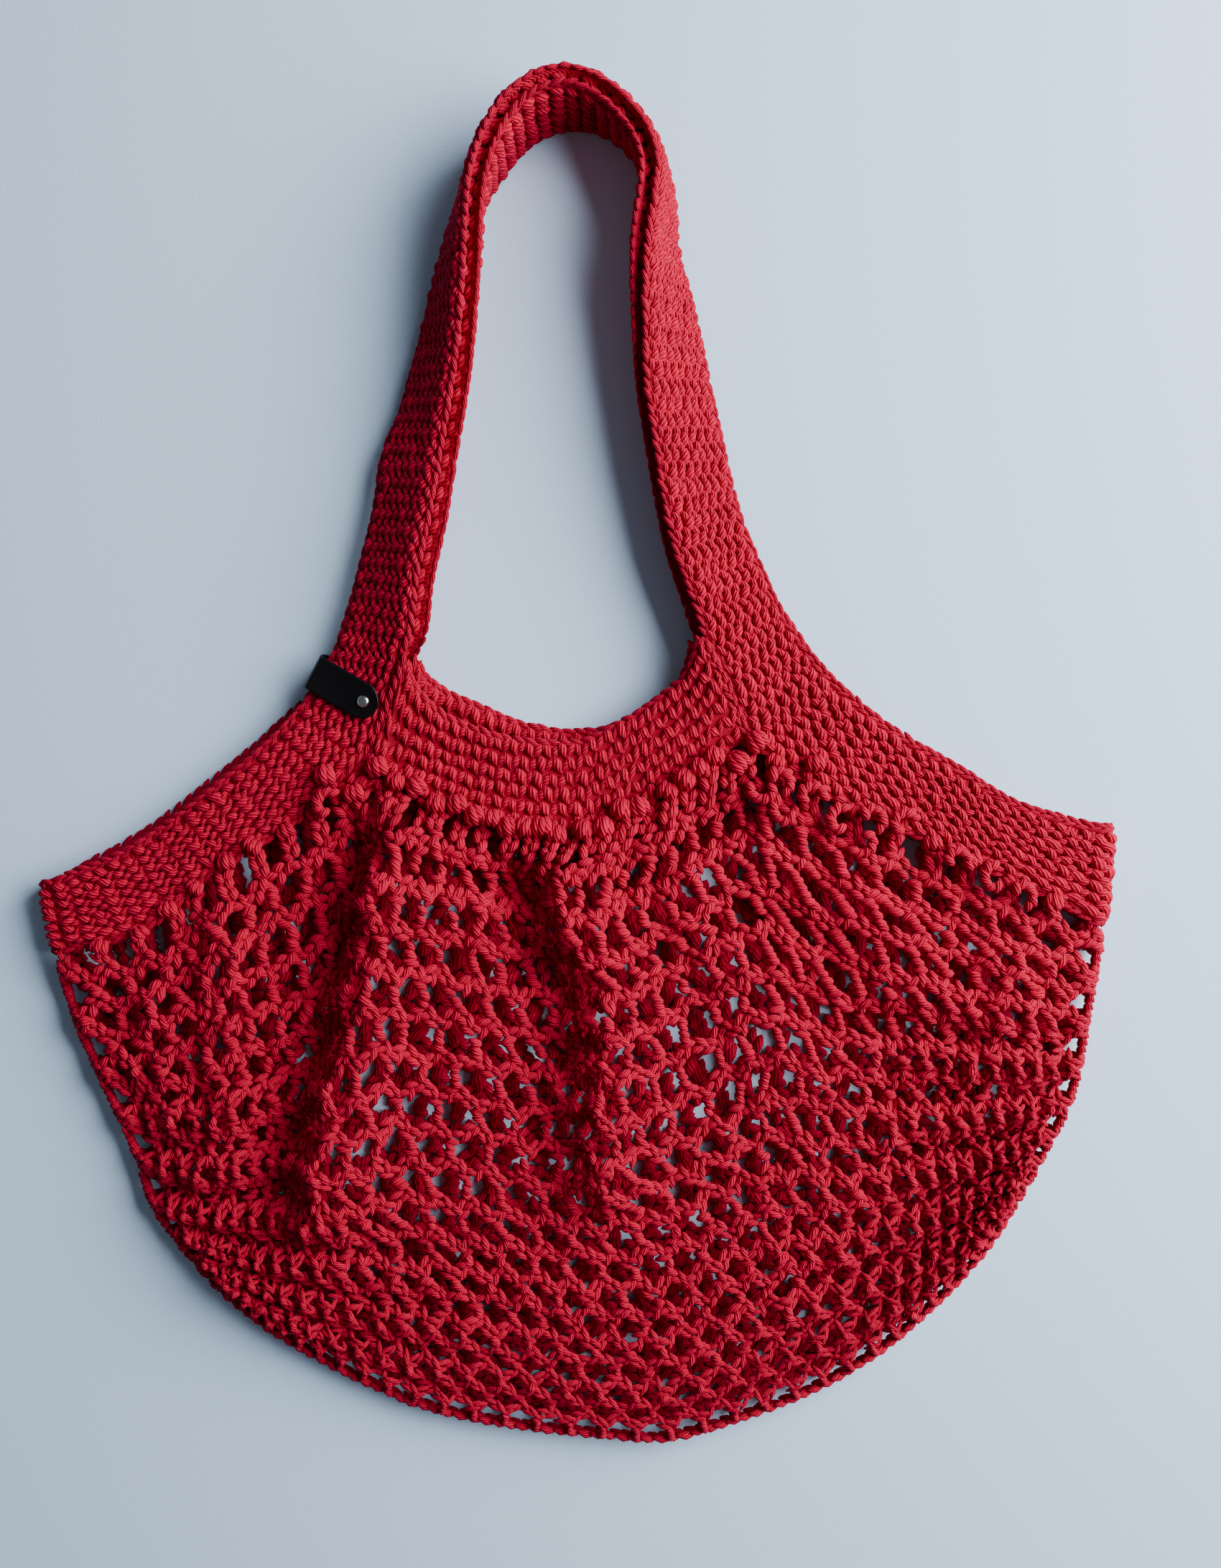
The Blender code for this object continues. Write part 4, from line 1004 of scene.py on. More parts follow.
class Finish:
    """A material being made, with short ways to add nodes and to set or join their sockets."""

    def __init__(self, name):
        self.material = bpy.data.materials.new(name)
        self.material.use_nodes = True
        self.tree = self.material.node_tree
        self.shader = self.tree.nodes["Principled BSDF"]

    def set(self, node, sockets):
        """Set sockets of a node, each to a number, a colour or another node's output."""
        for name, value in sockets.items():
            if isinstance(value, bpy.types.NodeSocket):
                self.tree.links.new(value, node.inputs[name])
            else:
                node.inputs[name].default_value = value
        return node

    def add(self, kind, sockets=(), **options):
        """Add a node with its options and sockets."""
        node = self.tree.nodes.new("ShaderNode" + kind)
        for name, value in options.items():
            setattr(node, name, value)
        return self.set(node, dict(sockets))

    def math(self, operation, *values):
        """Add a calculation and return its result."""
        return self.add("Math", enumerate(values), operation=operation).outputs["Value"]

    def noise(self, scale, detail):
        """Add noise on the piece's own coordinates and return it."""
        place = self.tree.nodes.get("Texture Coordinate") or self.add("TexCoord")
        noise = self.add("TexNoise", {"Vector": place.outputs["Object"], "Scale": scale,
                                      "Detail": detail})
        return noise.outputs["Fac"]

    def blend(self, share, low, high):
        """Add a blend of two colours and return it."""
        blend = self.add("Mix", {"Factor": share, "A": low, "B": high}, data_type="RGBA")
        return blend.outputs["Result"]

    def bump(self, height, strength, depth):
        """Give the shader a relief."""
        bump = self.add("Bump", {"Height": height, "Strength": strength, "Distance": depth})
        self.set(self.shader, {"Normal": bump.outputs["Normal"]})


def yarn_material(name, lit, groove_shade_and_dark_dye, stroke):
    """Make the material of a twisted cotton yarn: slanted plies with painted shade between them, a
    painted pale sheen at a strand's edges, uneven dye.
    """
    finish = Finish(name)
    yarn_place = finish.add("UVMap", uv_map="yarn").outputs["UV"]
    split = finish.add("SeparateXYZ", {"Vector": yarn_place})
    fibre = finish.noise(*FIBRE_NOISE)
    dye = finish.noise(*DYE_NOISE)
    along = finish.math("MULTIPLY", split.outputs["Y"], 2 * math.pi / stroke)
    around = finish.math("MULTIPLY", split.outputs["X"], 2 * math.pi * PLIES)
    stray = finish.math("MULTIPLY", fibre, FIBRE_STRAY)
    phase = finish.math("ADD", finish.math("ADD", along, around), stray)
    wave = finish.math("ADD", finish.math("SINE", phase), 1.0)
    ply = finish.math("POWER", finish.math("MULTIPLY", wave, 0.5), PLY_ROUNDNESS)
    height = finish.math("ADD", ply, finish.math("MULTIPLY", fibre, FIBRE_HEIGHT))
    finish.bump(height, YARN_BUMP, YARN_BUMP_DEPTH)
    tone_and_under_shade = finish.add("Attribute", attribute_name="tone_and_under_shade").outputs["Fac"]
    # Painted shade: between the plies the colour darkens towards the deep colour, and the dye noise
    # and the tone move it too.
    share = finish.math("MULTIPLY", ply, PLY_SHADE_SHARE)
    share = finish.math("ADD", share, finish.math("MULTIPLY", dye, DYE_SHARE))
    share = finish.math("ADD", share, finish.math("MULTIPLY", tone_and_under_shade, TONE_AND_UNDER_SHADE_SHARE))
    colour = finish.blend(share, (*groove_shade_and_dark_dye, 1.0), (*lit, 1.0))
    # Painted sheen: Layer Weight blends a paler red into the colour at a strand's edges, by up to 35
    # percent.
    edge = finish.add("LayerWeight", {"Blend": PAINTED_SHEEN_BLEND}).outputs["Facing"]
    painted_sheen = finish.blend(finish.math("MULTIPLY", edge, PAINTED_SHEEN_SHARE), colour, (*PAINTED_SHEEN_COLOUR, 1.0))
    finish.set(finish.shader, {"Base Color": painted_sheen, **YARN_SHADER})
    return finish.material


def yarn(slot):
    """Return the yarn material for a slot, made on first use."""
    name = slot.replace("_", " ")
    if name not in bpy.data.materials:
        settings = bpy.context.scene.market_bag
        yarn_material(name, settings.yarn_colour, settings.yarn_groove_shade_and_dark_dye, settings.stroke)
    return bpy.data.materials[name]


def plain_material(name, colour, roughness, metallic=0.0, shine=0.5, grain=0.0, grain_scale=1.0):
    """Make a plain material. grain is the depth of a fine relief in metres, if it has one."""
    finish = Finish(name)
    finish.set(finish.shader, {"Base Color": (*colour, 1.0), "Roughness": roughness,
                               "Metallic": metallic, "Specular IOR Level": shine})
    if grain:
        finish.bump(finish.noise(grain_scale, GRAIN_DETAIL), GRAIN_BUMP, grain)
    return finish.material


STRAP = StrapLoop()


class BagSettings(bpy.types.PropertyGroup):
    """Sizes and colours of the bag's yarn."""

    chain_pitch: FloatProperty(
        name="Chain stitch", description="Length of a chain stitch in the net, in millimetres",
        default=CHAIN_PITCH, min=3.0, max=10.0)
    chain_width: FloatProperty(
        name="Chain width", description="Width of the chains in the net, in millimetres",
        default=CHAIN_WIDTH, min=2.0, max=10.0)
    stitches_across: IntProperty(
        name="Stitches across", description="Stitches across the strap",
        default=STITCHES_ACROSS, min=3, max=12)
    yarn_colour: FloatVectorProperty(
        name="Yarn", description="Colour of the yarn in the light", subtype="COLOR",
        size=3, default=(0.56, 0.002, 0.034), min=0.0, max=1.0)
    # Painted shade between the plies, and also the darker end of the uneven dye.
    yarn_groove_shade_and_dark_dye: FloatVectorProperty(
        name="Yarn between plies", description="Colour of the yarn between its plies",
        subtype="COLOR", size=3, default=(0.24, 0.001, 0.011), min=0.0, max=1.0)
    stroke: FloatProperty(
        name="Ply spacing", description="Distance between plies along the yarn, in millimetres",
        default=1.9, min=0.5, max=5.0)
    leather_colour: FloatVectorProperty(
        name="Leather", description="Colour of the leather label", subtype="COLOR",
        size=3, default=(0.003, 0.002, 0.003), min=0.0, max=1.0)


class StageSettings(bpy.types.PropertyGroup):
    """Floor and lights."""

    floor_colour: FloatVectorProperty(
        name="Floor", description="Colour of the cloth under the bag", subtype="COLOR",
        size=3, default=(0.54, 0.70, 0.91), min=0.0, max=1.0)
    key_power: FloatProperty(
        name="Window light", description="Power of the soft light from the right",
        default=51.0, min=0.0, unit="POWER")
    sky_strength: FloatProperty(
        name="Room light", description="Strength of the light from all round",
        default=0.13, min=0.0)


def net_crossings():
    """Return the crossings of the front, the back and the two side folds, and the outward turns."""
    jitter = np.random.default_rng(11)
    front = NetLayer(True).crossings(jitter)
    back = NetLayer(False).crossings(jitter)
    left, left_out = fold_crossings(front, back, 0)
    right, right_out = fold_crossings(front, back, -1)
    return front, back, (left, left_out), (right, right_out)


def surface_normals(points):
    """Return upward normals of a grid of points."""
    slope_k = np.gradient(points, axis=0)
    slope_m = np.gradient(points, axis=1)
    return unit(np.cross(slope_m, slope_k))


def foot_edge(front, back):
    """Return the net's lowest line, outermost on the fold, and its outward direction."""
    ends = (front[:, -1] + back[:, -1]) / 2
    along = unit(np.gradient(ends[:, :2], axis=0))
    outward = np.column_stack([along[:, 1], -along[:, 0], np.zeros(len(along))])
    return ends + outward * FOLD_RADIUS, outward


def fold_arc(end, outward, half, turns):
    """Return points at turns, in degrees, over the fold from a layer's end to its outermost line."""
    angles = np.radians(turns)[:, None]
    up = UP * half
    arc = outward * np.sin(angles) + up * np.cos(angles)
    return (end - up * FOLD_RADIUS)[None] + FOLD_RADIUS * arc


def side_turn(end, edge, outward, half):
    """Return points and normals that carry a row line from its end round to a side fold."""
    angles = np.radians(FOLD_TURNS)[:, None]
    arc = fold_arc(end, outward, half, FOLD_TURNS)
    arc[:, :2] += (edge[:2] - end[:2] - outward[:2] * FOLD_RADIUS) * np.sin(angles)
    normals = outward * np.sin(angles) + UP * half * np.cos(angles)
    return np.concatenate([arc, edge[None]]), np.concatenate([normals, outward[None]])


def lay_rows(chains, grain, points, normals, slim, folds, half):
    """Lay a layer's row lines of chain, each carried on round both side folds."""
    settings = bpy.context.scene.market_bag
    for line in range(1, points.shape[1] - 1):
        (left, left_lift), (right, right_lift) = (
            side_turn(points[index, line], edge[line], outward[line], half)
            for index, (edge, outward) in zip((0, -1), folds))
        path = np.concatenate([left[::-1], points[:, line], right])
        lift = np.concatenate([left_lift[::-1], normals[:, line], right_lift])
        wide = np.pad(slim[:, line], len(FOLD_TURNS) + 1, mode="edge") * settings.chain_width
        path = round_corners(np.hstack([path, lift, wide[:, None]])[None], times=2)[0]
        lay_chain(chains, grain, path[:, :3], path[:, 3:6], settings.chain_pitch, path[:, 6])


def lay_cords(chains, cords, grain, points, normals, slim, foot, half):
    """Lay a layer's cords from line to line. The loose first row is of chain."""
    settings = bpy.context.scene.market_bag
    columns, lines = points.shape[:2]
    for line in range(lines - 1):
        for k in range(line % 2, columns, 2):
            start, end = points[k, line], points[k, line + 1]
            if line + 1 < lines - 1:
                path = np.linspace(start, end, CORD_POINTS)
                lift = np.linspace(normals[k, line], normals[k, line + 1], CORD_POINTS)
            else:
                lowest, outward = foot[0][k], foot[1][k]
                path = np.array([start, end, *fold_arc(end, outward, half, FOOT_TURNS), lowest])
                lift = np.array([normals[k, line], UP * half, unit(UP * half + outward), outward])
            path[1:-1] += lift[1:-1] * cords.random.normal(*CORD_SAG)
            if line:
                width = CORD_WIDTH * (slim[k, line] + slim[k, line + 1]) / 2
                width = width * (1.0 + cords.random.normal(0.0, CORD_UNEVEN_WIDTH))
                lay_cord(cords, grain, path, lift, width)
            else:
                path[1:-1] += cords.random.normal(0.0, FIRST_ROW_SWAY, 3)
                lay_chain(chains, grain, path, lift, settings.chain_pitch,
                          settings.chain_width * slim[k, 0])


def lay_layer(chains, cords, grain, points, foot, folds, half, scale=1.0):
    """Lay the chains and cords of one layer. half is 1 for the front and -1 for the back."""
    normals = surface_normals(points) * half
    slim = (1.0 - GATHER_SLIM * gathering(points)) * row_room(points) * scale
    slim = slim * (1.0 + TOP_SWELL * ease(1.0 - np.arange(points.shape[1]) / SWELL_ROWS))
    lay_rows(chains, grain, points, normals, slim, folds, half)
    lay_cords(chains, cords, grain, points, normals, slim, foot, half)


def lay_side_cords(cords, grain, folds):
    """Lay the cords between every second pair of lines on the net's side folds."""
    for edge, outward in folds:
        for line in range(1, len(edge) - 1, 2):
            lay_cord(cords, grain, np.linspace(edge[line], edge[line + 1], CORD_POINTS),
                     np.linspace(outward[line], outward[line + 1], CORD_POINTS), CORD_WIDTH)


class MARKET_BAG_OT_net(bpy.types.Operator):
    """Make the net's two layers of chains and cords"""

    bl_idname = "market_bag.net"
    bl_label = "Net"

    def execute(self, context):
        settings = context.scene.market_bag
        front, back, left, right = net_crossings()
        foot = foot_edge(front, back)
        grain = model_grain(*NET_GRAIN)
        chains, cords = Pile(seed=21), Pile(seed=22)
        lay_layer(chains, cords, grain, front, foot, (left, right), 1.0)
        lay_side_cords(cords, grain, (left, right))
        lay_chain(chains, grain, *foot, settings.chain_pitch, settings.chain_width)
        upper = chains.finish("net_front_chains", "net_yarn")
        upper_cords = cords.finish("net_front_cords", "net_yarn")
        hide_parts("net_front")
        grain = model_grain(*BACK_NET_GRAIN)
        chains, cords = Pile(seed=23), Pile(seed=24)
        lay_layer(chains, cords, grain, back, foot, (left, right), -1.0, BACK_SCALE)
        under = chains.finish("net_back_chains", "net_yarn")
        under_cords = cords.finish("net_back_cords", "net_yarn")
        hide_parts("net_back")
        return {"FINISHED"}


def hidden_inside(places):
    """Return which places along the strap have an inner side that the bag itself hides."""
    foot_left, foot_right = row_at(YOKE_FOOT_LEFT), row_at(YOKE_FOOT_RIGHT)
    hidden = (places < foot_left) | (places > STRAP.length - foot_left)
    behind = 2 * STRAP.front_end + CORNER_LENGTH - foot_right
    return hidden | ((places > foot_right) & (places < behind))


def lay_strap_stitches(pile, shape, inner_shape, starts, filling=None):
    """Lay rows of stitches on the strap, and on its inner side where that can be seen.

    starts are the rows' places along the strap, and filling is the shape of the smaller
    stitches between the rows, where there are any.
    """
    across = bpy.context.scene.market_bag.stitches_across
    row = np.repeat(starts, across)
    order = np.tile(np.arange(across), len(starts))
    number = np.repeat(np.arange(len(starts)), across)
    count = len(row)
    spread = (STRAP.width(row) - 2 * STRAP_MARGIN) / (across + STRAP_SHIFT)
    shift = np.where(number % 2 == 0, 0.5, 0.5 + STRAP_SHIFT)
    down = STRAP_MARGIN + (order + shift) * spread
    jog = pile.random.normal(0.0, STRAP_JOG, (2, count))
    slant = np.radians(STRAP_SLANT + pile.random.normal(0.0, STRAP_TURN, count))
    length, share, thick = STRAP_STITCH
    sizes = pile.uneven(sizes_of(count, length, spread * share, thick), STRAP_SWELL)
    lay_stitches(pile, shape, STRAP, row + jog[0], down + jog[1], sizes, slant, STRAP_LEVEL)
    inner = ~hidden_inside(row)
    lay_stitches(pile, inner_shape, STRAP, row[inner], down[inner], sizes[inner], -slant[inner],
                 -STRAP_LEVEL)
    if filling is not None:
        length, share, thick = FILLING_STITCH
        sizes = sizes_of(count, length, spread * share, thick)
        lay_stitches(pile, filling, STRAP, row + FILLING_AHEAD + jog[0],
                     down + spread * FILLING_ACROSS, sizes, -slant, FILLING_LEVEL)


def lay_strap_edges(pile, grain, start, end):
    """Lay a chain along both edges of the strap, from one place along it to another."""
    run = np.arange(start, end, EDGE_READING)
    for down in (EDGE_INSET, STRAP.width(run) - EDGE_INSET):
        lay_chain(pile, grain, STRAP.at(run, down, EDGE_LEVEL), STRAP.edges(run)[2], EDGE_CHAIN,
                  EDGE_WIDTH, EDGE_SLANT)


def band_sections():
    """Return the sections of the plain band beneath the strap's stitches."""
    along = np.arange(0.0, STRAP.length, BAND_READING)
    width = STRAP.width(along)
    corners = [STRAP.at(along, down if down > 0 else width + down, level)
               for down, level in BAND_SECTION]
    return np.array(corners).transpose(1, 0, 2)


class MARKET_BAG_OT_strap(bpy.types.Operator):
    """Make the strap: handles and side bands in one closed band of crochet"""

    bl_idname = "market_bag.strap"
    bl_label = "Strap"

    def execute(self, context):
        drop = model_grain(*STRAP_GRAIN)
        small = model_grain(*SMALL_GRAIN)
        edge_grain = model_grain(*EDGE_GRAIN)
        rows = int(round(STRAP.length / STRAP_ROW))
        starts = (np.arange(rows) + 0.5) * STRAP.length / rows
        seen_end = STRAP.front_end + CORNER_REACH
        front, back = Pile(seed=31), Pile(seed=32)
        lay_strap_stitches(front, drop, small, starts[starts < seen_end], filling=small)
        lay_strap_stitches(back, small, small, starts[starts >= seen_end])
        lay_strap_edges(front, edge_grain, 0.0, seen_end)
        lay_strap_edges(back, edge_grain, seen_end, STRAP.length)
        base = tube_piece("strap_base", band_sections(), STRAP.length, yarn("strap_yarn"))
        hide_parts("strap_loop")
        pieces = [front.finish("strap_front_stitches", "strap_yarn"),
                  back.finish("strap_back_stitches", "strap_yarn")]
        return {"FINISHED"}


def mesh_piece(name, points, faces, material, uvs=None):
    """Make a smooth closed piece that rides with the bag. uvs is one row for each face corner."""
    mesh = bpy.data.meshes.new(name)
    mesh.from_pydata(points.tolist(), [], faces)
    if uvs is not None:
        mesh.uv_layers.new(name="yarn").data.foreach_set("uv", np.asarray(uvs, float).ravel())
    # Painted shade: a fixed darker tone, which darkens the yarn of the plain bands and panels
    # beneath the stitches.
    tone_and_under_shade = mesh.attributes.new("tone_and_under_shade", "FLOAT", "POINT")
    tone_and_under_shade.data.foreach_set("value", np.full(len(points), -1.0))
    mesh.materials.append(material)
    piece = bpy.data.objects.new(name, mesh)
    bpy.context.collection.objects.link(piece)
    bpy.ops.object.select_all(action="DESELECT")
    bpy.context.view_layer.objects.active = piece
    piece.select_set(True)
    bpy.ops.object.mode_set(mode="EDIT")
    bpy.ops.mesh.select_all(action="SELECT")
    bpy.ops.mesh.normals_make_consistent(inside=False)
    bpy.ops.object.mode_set(mode="OBJECT")
    mesh.shade_smooth()
    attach(piece, "root")
    return piece


def tube_piece(name, sections, length, material):
    """Make a closed ring-shaped piece from cross-sections, each a row of points."""
    count, size = sections.shape[:2]
    points = in_metres(sections.reshape(-1, 3))
    faces, uvs = [], []
    for index in range(count):
        after = (index + 1) % count
        near, far = index * length / count, (index + 1) * length / count
        for side in range(size):
            follow = (side + 1) % size
            faces.append((index * size + side, index * size + follow, after * size + follow,
                          after * size + side))
            left, right = side / size, (side + 1) / size
            uvs += [(left, near), (right, near), (right, far), (left, far)]
    return mesh_piece(name, points, faces, material, uvs)


def closed_sheet(name, upper, lower, material, places=None):
    """Make the closed sheet between two grids of points. places are the grid's yarn coordinates."""
    columns, rows = upper.shape[:2]
    points = in_metres(np.concatenate([grid.reshape(-1, 3) for grid in (upper, lower)]))
    base = columns * rows
    faces = []
    for i in range(columns - 1):
        for j in range(rows - 1):
            a, b = i * rows + j, (i + 1) * rows + j
            faces.append((a, a + 1, b + 1, b))
            faces.append((base + a, base + b, base + b + 1, base + a + 1))
    rim = [i * rows for i in range(columns)]
    rim += [(columns - 1) * rows + j for j in range(1, rows)]
    rim += [i * rows + rows - 1 for i in range(columns - 2, -1, -1)]
    rim += list(range(rows - 2, 0, -1))
    for start, end in zip(rim, rim[1:] + rim[:1]):
        faces.append((start, end, base + end, base + start))
    uvs = None
    if places is not None:
        places = np.concatenate([places.reshape(-1, 2)] * 2)
        uvs = places[np.concatenate(faces)]
    return mesh_piece(name, points, faces, material, uvs)


def between_ends(margin, count):
    """Return rising shares from 0 to 1: both ends, and count shares between the margins."""
    return np.concatenate([[0.0], np.linspace(margin, 1.0 - margin, count), [1.0]])


def panel_piece(name, yoke, low, high, material):
    """Make the closed sheet between two levels of a yoke, with a rounded edge."""
    u, v = np.meshgrid(between_ends(*PANEL_ACROSS), between_ends(*PANEL_DOWN), indexing="ij")
    middle = (low + high) / 2
    grids = []
    for level in (high, low):
        levels = np.full(u.shape, level)
        levels[[0, -1], :] = middle + (level - middle) * PANEL_RIM
        levels[:, [0, -1]] = middle + (level - middle) * PANEL_RIM
        grids.append(yoke.at(u, v, levels))
    depth, length = PANEL_YARN
    places = np.stack([v * depth, u * length], axis=-1)
    piece = closed_sheet(name, grids[0], grids[1], material, places)
    return piece


def lay_yoke_stitches(pile, shape, yoke, sides):
    """Lay a yoke's rows of two-legged stitches, on the sides named as 1 for up, -1 for down."""
    for row in range(YOKE_ROWS):
        down = (row + YOKE_FIRST_ROW) / YOKE_ROWS
        count = int(round(yoke.length(down) / YOKE_STITCH))
        start = 0.5 if row % 2 else 0.5 + YOKE_SHIFT
        across = (np.arange(count) + start) / (count + YOKE_SHIFT)
        across = across + pile.random.normal(0.0, YOKE_SLIP, count)
        down = down + pile.random.normal(0.0, YOKE_DROP, count)
        depth = yoke.depth(across)
        scale = (yoke.length(down), depth)
        rows, width, thick = YOKE_LEG
        for side in sides:
            for heading, share in YOKE_LEGS:
                slant = np.radians(heading + pile.random.normal(0.0, YOKE_TURN, count))
                sizes = sizes_of(count, depth / YOKE_ROWS * rows, width, thick) * share
                sizes = pile.uneven(sizes, YOKE_SWELL)
                shift = np.sign(heading + 90.0) * YOKE_LEG_ASIDE / scale[0]
                lay_stitches(pile, shape, yoke, across + shift, down, sizes, slant,
                             (YOKE_LEG_LEVEL + share) * side, scale)


def lay_yoke_edges(pile, grain, yoke):
    """Lay chains along a yoke's rim and foot, and then along its two ends."""
    across = np.linspace(0.0, 1.0, RIM_READINGS)
    for down, level in YOKE_RIMS:
        lay_chain(pile, grain, yoke.at(across, down, level),
                  yoke.read(yoke.normal, across, down), RIM_CHAIN, RIM_WIDTH, EDGE_SLANT)
    down = np.linspace(0.0, 1.0, END_READINGS)
    for end in (0.0, 1.0):
        seam = yoke.at(end, down, END_LEVEL)
        outward = unit(seam - yoke.at(abs(end - END_STEP), down, END_LEVEL))
        lay_chain(pile, grain, seam + outward * END_OUT, yoke.read(yoke.normal, end, down),
                  END_CHAIN, END_WIDTH, EDGE_SLANT)


class MARKET_BAG_OT_yokes(bpy.types.Operator):
    """Make the curved panels that close the strap's opening on each side"""

    bl_idname = "market_bag.yokes"
    bl_label = "Yokes"

    def execute(self, context):
        drop = model_grain(*YOKE_GRAIN)
        edge_grain = model_grain(*EDGE_GRAIN)
        for name, strap, neckline, foot_z, sides, under in (
                ("yoke_front", front_strap, FRONT_NECKLINE, FRONT_Z, (1.0,), PANEL_UNDER),
                ("yoke_back", back_strap, BACK_NECKLINE, BACK_STRAP_Z, (1.0, -1.0),
                 PANEL_UNDER_STITCHED)):
            yoke = Yoke(strap, neckline, foot_z)
            pile = Pile(seed=41)
            lay_yoke_stitches(pile, drop, yoke, sides)
            lay_yoke_edges(pile, edge_grain, yoke)
            stitches = pile.finish(name + "_stitches", "strap_yarn")
            base = panel_piece(name + "_base", yoke, under, PANEL_TOP, yarn("strap_yarn"))
            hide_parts(name)
        return {"FINISHED"}


def seen_place(px, py, height):
    """Return the place at a height that the camera sees at a pixel of the picture."""
    scale = PICTURE_HEIGHT / PICTURE_PIXELS * (1 - height / CAMERA_PLACE[2])
    return (CAMERA_PLACE[0] + (px - PICTURE_MIDDLE[0]) * scale,
            CAMERA_PLACE[1] + (PICTURE_MIDDLE[1] - py) * scale, height)


def bobble_places(jitter):
    """Return the places of the bobbles at the yoke, and after them of those along the bands."""
    seen = np.array([seen_place(px, py, BOBBLE_Z) for px, py in BOBBLES]) - CENTRE_SHIFT
    hooks = net_top(front_strap, FRONT_Z)[::2]
    bands = np.concatenate([hooks[1:LEFT_BAND_STEPS // 2],
                            hooks[(LEFT_BAND_STEPS + YOKE_STEPS) // 2 + 1:-1]])
    bands[:, 2] += BAND_BOBBLE_RISE
    return np.concatenate([seen, bands + jitter.normal(0.0, BOBBLE_JOG, bands.shape)])


def lay_bobbles(pile, lobe):
    """Lay the bobbles, each of three lobes that hang side by side from the seam."""
    places = bobble_places(pile.random)
    count = len(places)
    reach = np.where(np.arange(count) < len(BOBBLES), 1.0, BAND_BOBBLE)[:, None]
    aside = pile.random.normal(0.0, BOBBLE_TURN, count)
    heading = unit(sizes_of(count, aside, -1.0, BOBBLE_DROOP))
    side = unit(np.cross(UP, heading))
    for turn in (-1.0, 0.0, 1.0):
        centre = places + side * turn * LOBES_APART + UP * (LOBE_DROP - abs(turn) * LOBE_DROP)
        swell = 1.0 + pile.random.normal(0.0, BOBBLE_SWELL, (count, 1))
        pile.place(lobe, centre, heading + side * turn * LOBE_SPREAD, np.tile(UP, (count, 1)),
                   reach * BOBBLE_SIZE * swell)


def lay_curls(pile, grain):
    """Lay the loose curled loops, most of them along the right band."""
    turns = np.radians(CURL_TURNS)
    curl = np.column_stack([np.cos(turns) * CURL_RADII[0], np.sin(turns) * CURL_RADII[1],
                            np.sin(turns / 2) * CURL_RISE])
    for px, py, turn in CURLS:
        cosine, sine = math.cos(math.radians(turn)), math.sin(math.radians(turn))
        spin = np.array(((cosine, sine, 0.0), (-sine, cosine, 0.0), (0.0, 0.0, 1.0)))
        path = curl @ spin + seen_place(px, py, CURL_Z) - CENTRE_SHIFT
        lay_cord(pile, grain, path, np.tile(UP, (len(path), 1)), CURL_WIDTH, CURL_SLANT)


class MARKET_BAG_OT_bobbles(bpy.types.Operator):
    """Make the knots and loose loops where the net hangs from the strap and the front yoke"""

    bl_idname = "market_bag.bobbles"
    bl_label = "Bobbles"

    def execute(self, context):
        pile = Pile(seed=51)
        lay_bobbles(pile, model_grain(*BOBBLE_GRAIN))
        lay_curls(pile, model_grain(*CURL_GRAIN))
        pile.finish("bobbles", "net_yarn")
        return {"FINISHED"}


class Label:
    """The leather label's own directions, laid on the curved strap."""

    def __init__(self):
        self.place = row_place(LABEL_ROW)
        outer, inner = front_strap([self.place])[:2]
        self.origin = outer[0]
        self.inward = unit((inner - outer)[0, :2])
        self.along = np.array((-self.inward[1], self.inward[0]))

    def point(self, a, b, level):
        """Return the point a along the edge, b inward from it and level above the mid-surface."""
        target = self.origin[:2] + self.inward * max(b, 0.0) + self.along * a
        outer, inner, normal = front_strap(self.place + LABEL_SEARCH)[:3]
        across = inner - outer
        share = np.sum((target - outer[:, :2]) * across[:, :2], axis=1)
        share = share / np.sum(across[:, :2] ** 2, axis=1)
        foot = outer + across * share[:, None]
        best = np.argmin(np.linalg.norm(foot[:, :2] - target, axis=1))
        beyond = np.array((*(self.inward * min(b, 0.0)), 0.0))
        return foot[best] + beyond + normal[best] * level


def label_path():
    """Return the label's path as (inward, level, normal inward, normal level), top end first."""
    round_end = LABEL_WIDTH / 2 * (1.0 - np.cos(np.radians(LABEL_ROUND_TURNS)))
    from_end, stop, count = LABEL_STRAIGHT
    run = np.concatenate([LABEL_LENGTH - round_end,
                          np.linspace(LABEL_LENGTH - from_end, stop, count)])
    path = [(b, LABEL_LEVEL, 0.0, 1.0) for b in run]
    for turn in np.radians(LABEL_FOLD_TURNS):
        sine, cosine = math.sin(turn), math.cos(turn)
        path.append((-LABEL_FOLD_REACH * sine, LABEL_LEVEL * cosine, -sine, cosine))
    path += [(b, -LABEL_LEVEL, 0.0, -1.0) for b in run[::-1]]
    return path


def label_face(lay, offset):
    """Return the grid of points of one face of the label, offset from its middle."""
    grid = []
    for b, level, normal_b, normal_level in label_path():
        beyond = max(0.0, b - (LABEL_LENGTH - LABEL_WIDTH / 2))
        half = math.sqrt(max((LABEL_WIDTH / 2) ** 2 - beyond ** 2, LABEL_TIP))
        row = []
        for share in LABEL_SHARES:
            rise = offset * (LABEL_RIM if abs(share) == 1.0 else 1.0)
            row.append(lay.point(half * share, b + rise * normal_b, level + rise * normal_level))
        grid.append(row)
    return np.array(grid)


def rivet_profile():
    """Return the rivet's profile as (radius, level), from its lower to its upper tip."""
    seat = LABEL_LEVEL + LABEL_THICK / 2
    dome = [(RIVET_RADIUS * math.cos(turn), seat + RIVET_HEIGHT * math.sin(turn))
            for turn in np.radians(np.arange(0.0, 91.0, 10.0))]
    shank = [(RIVET_SHANK, -seat + RIVET_SINK), (RIVET_SHANK, seat - RIVET_SINK)]
    return [(radius, -level) for radius, level in dome[::-1]] + shank + dome


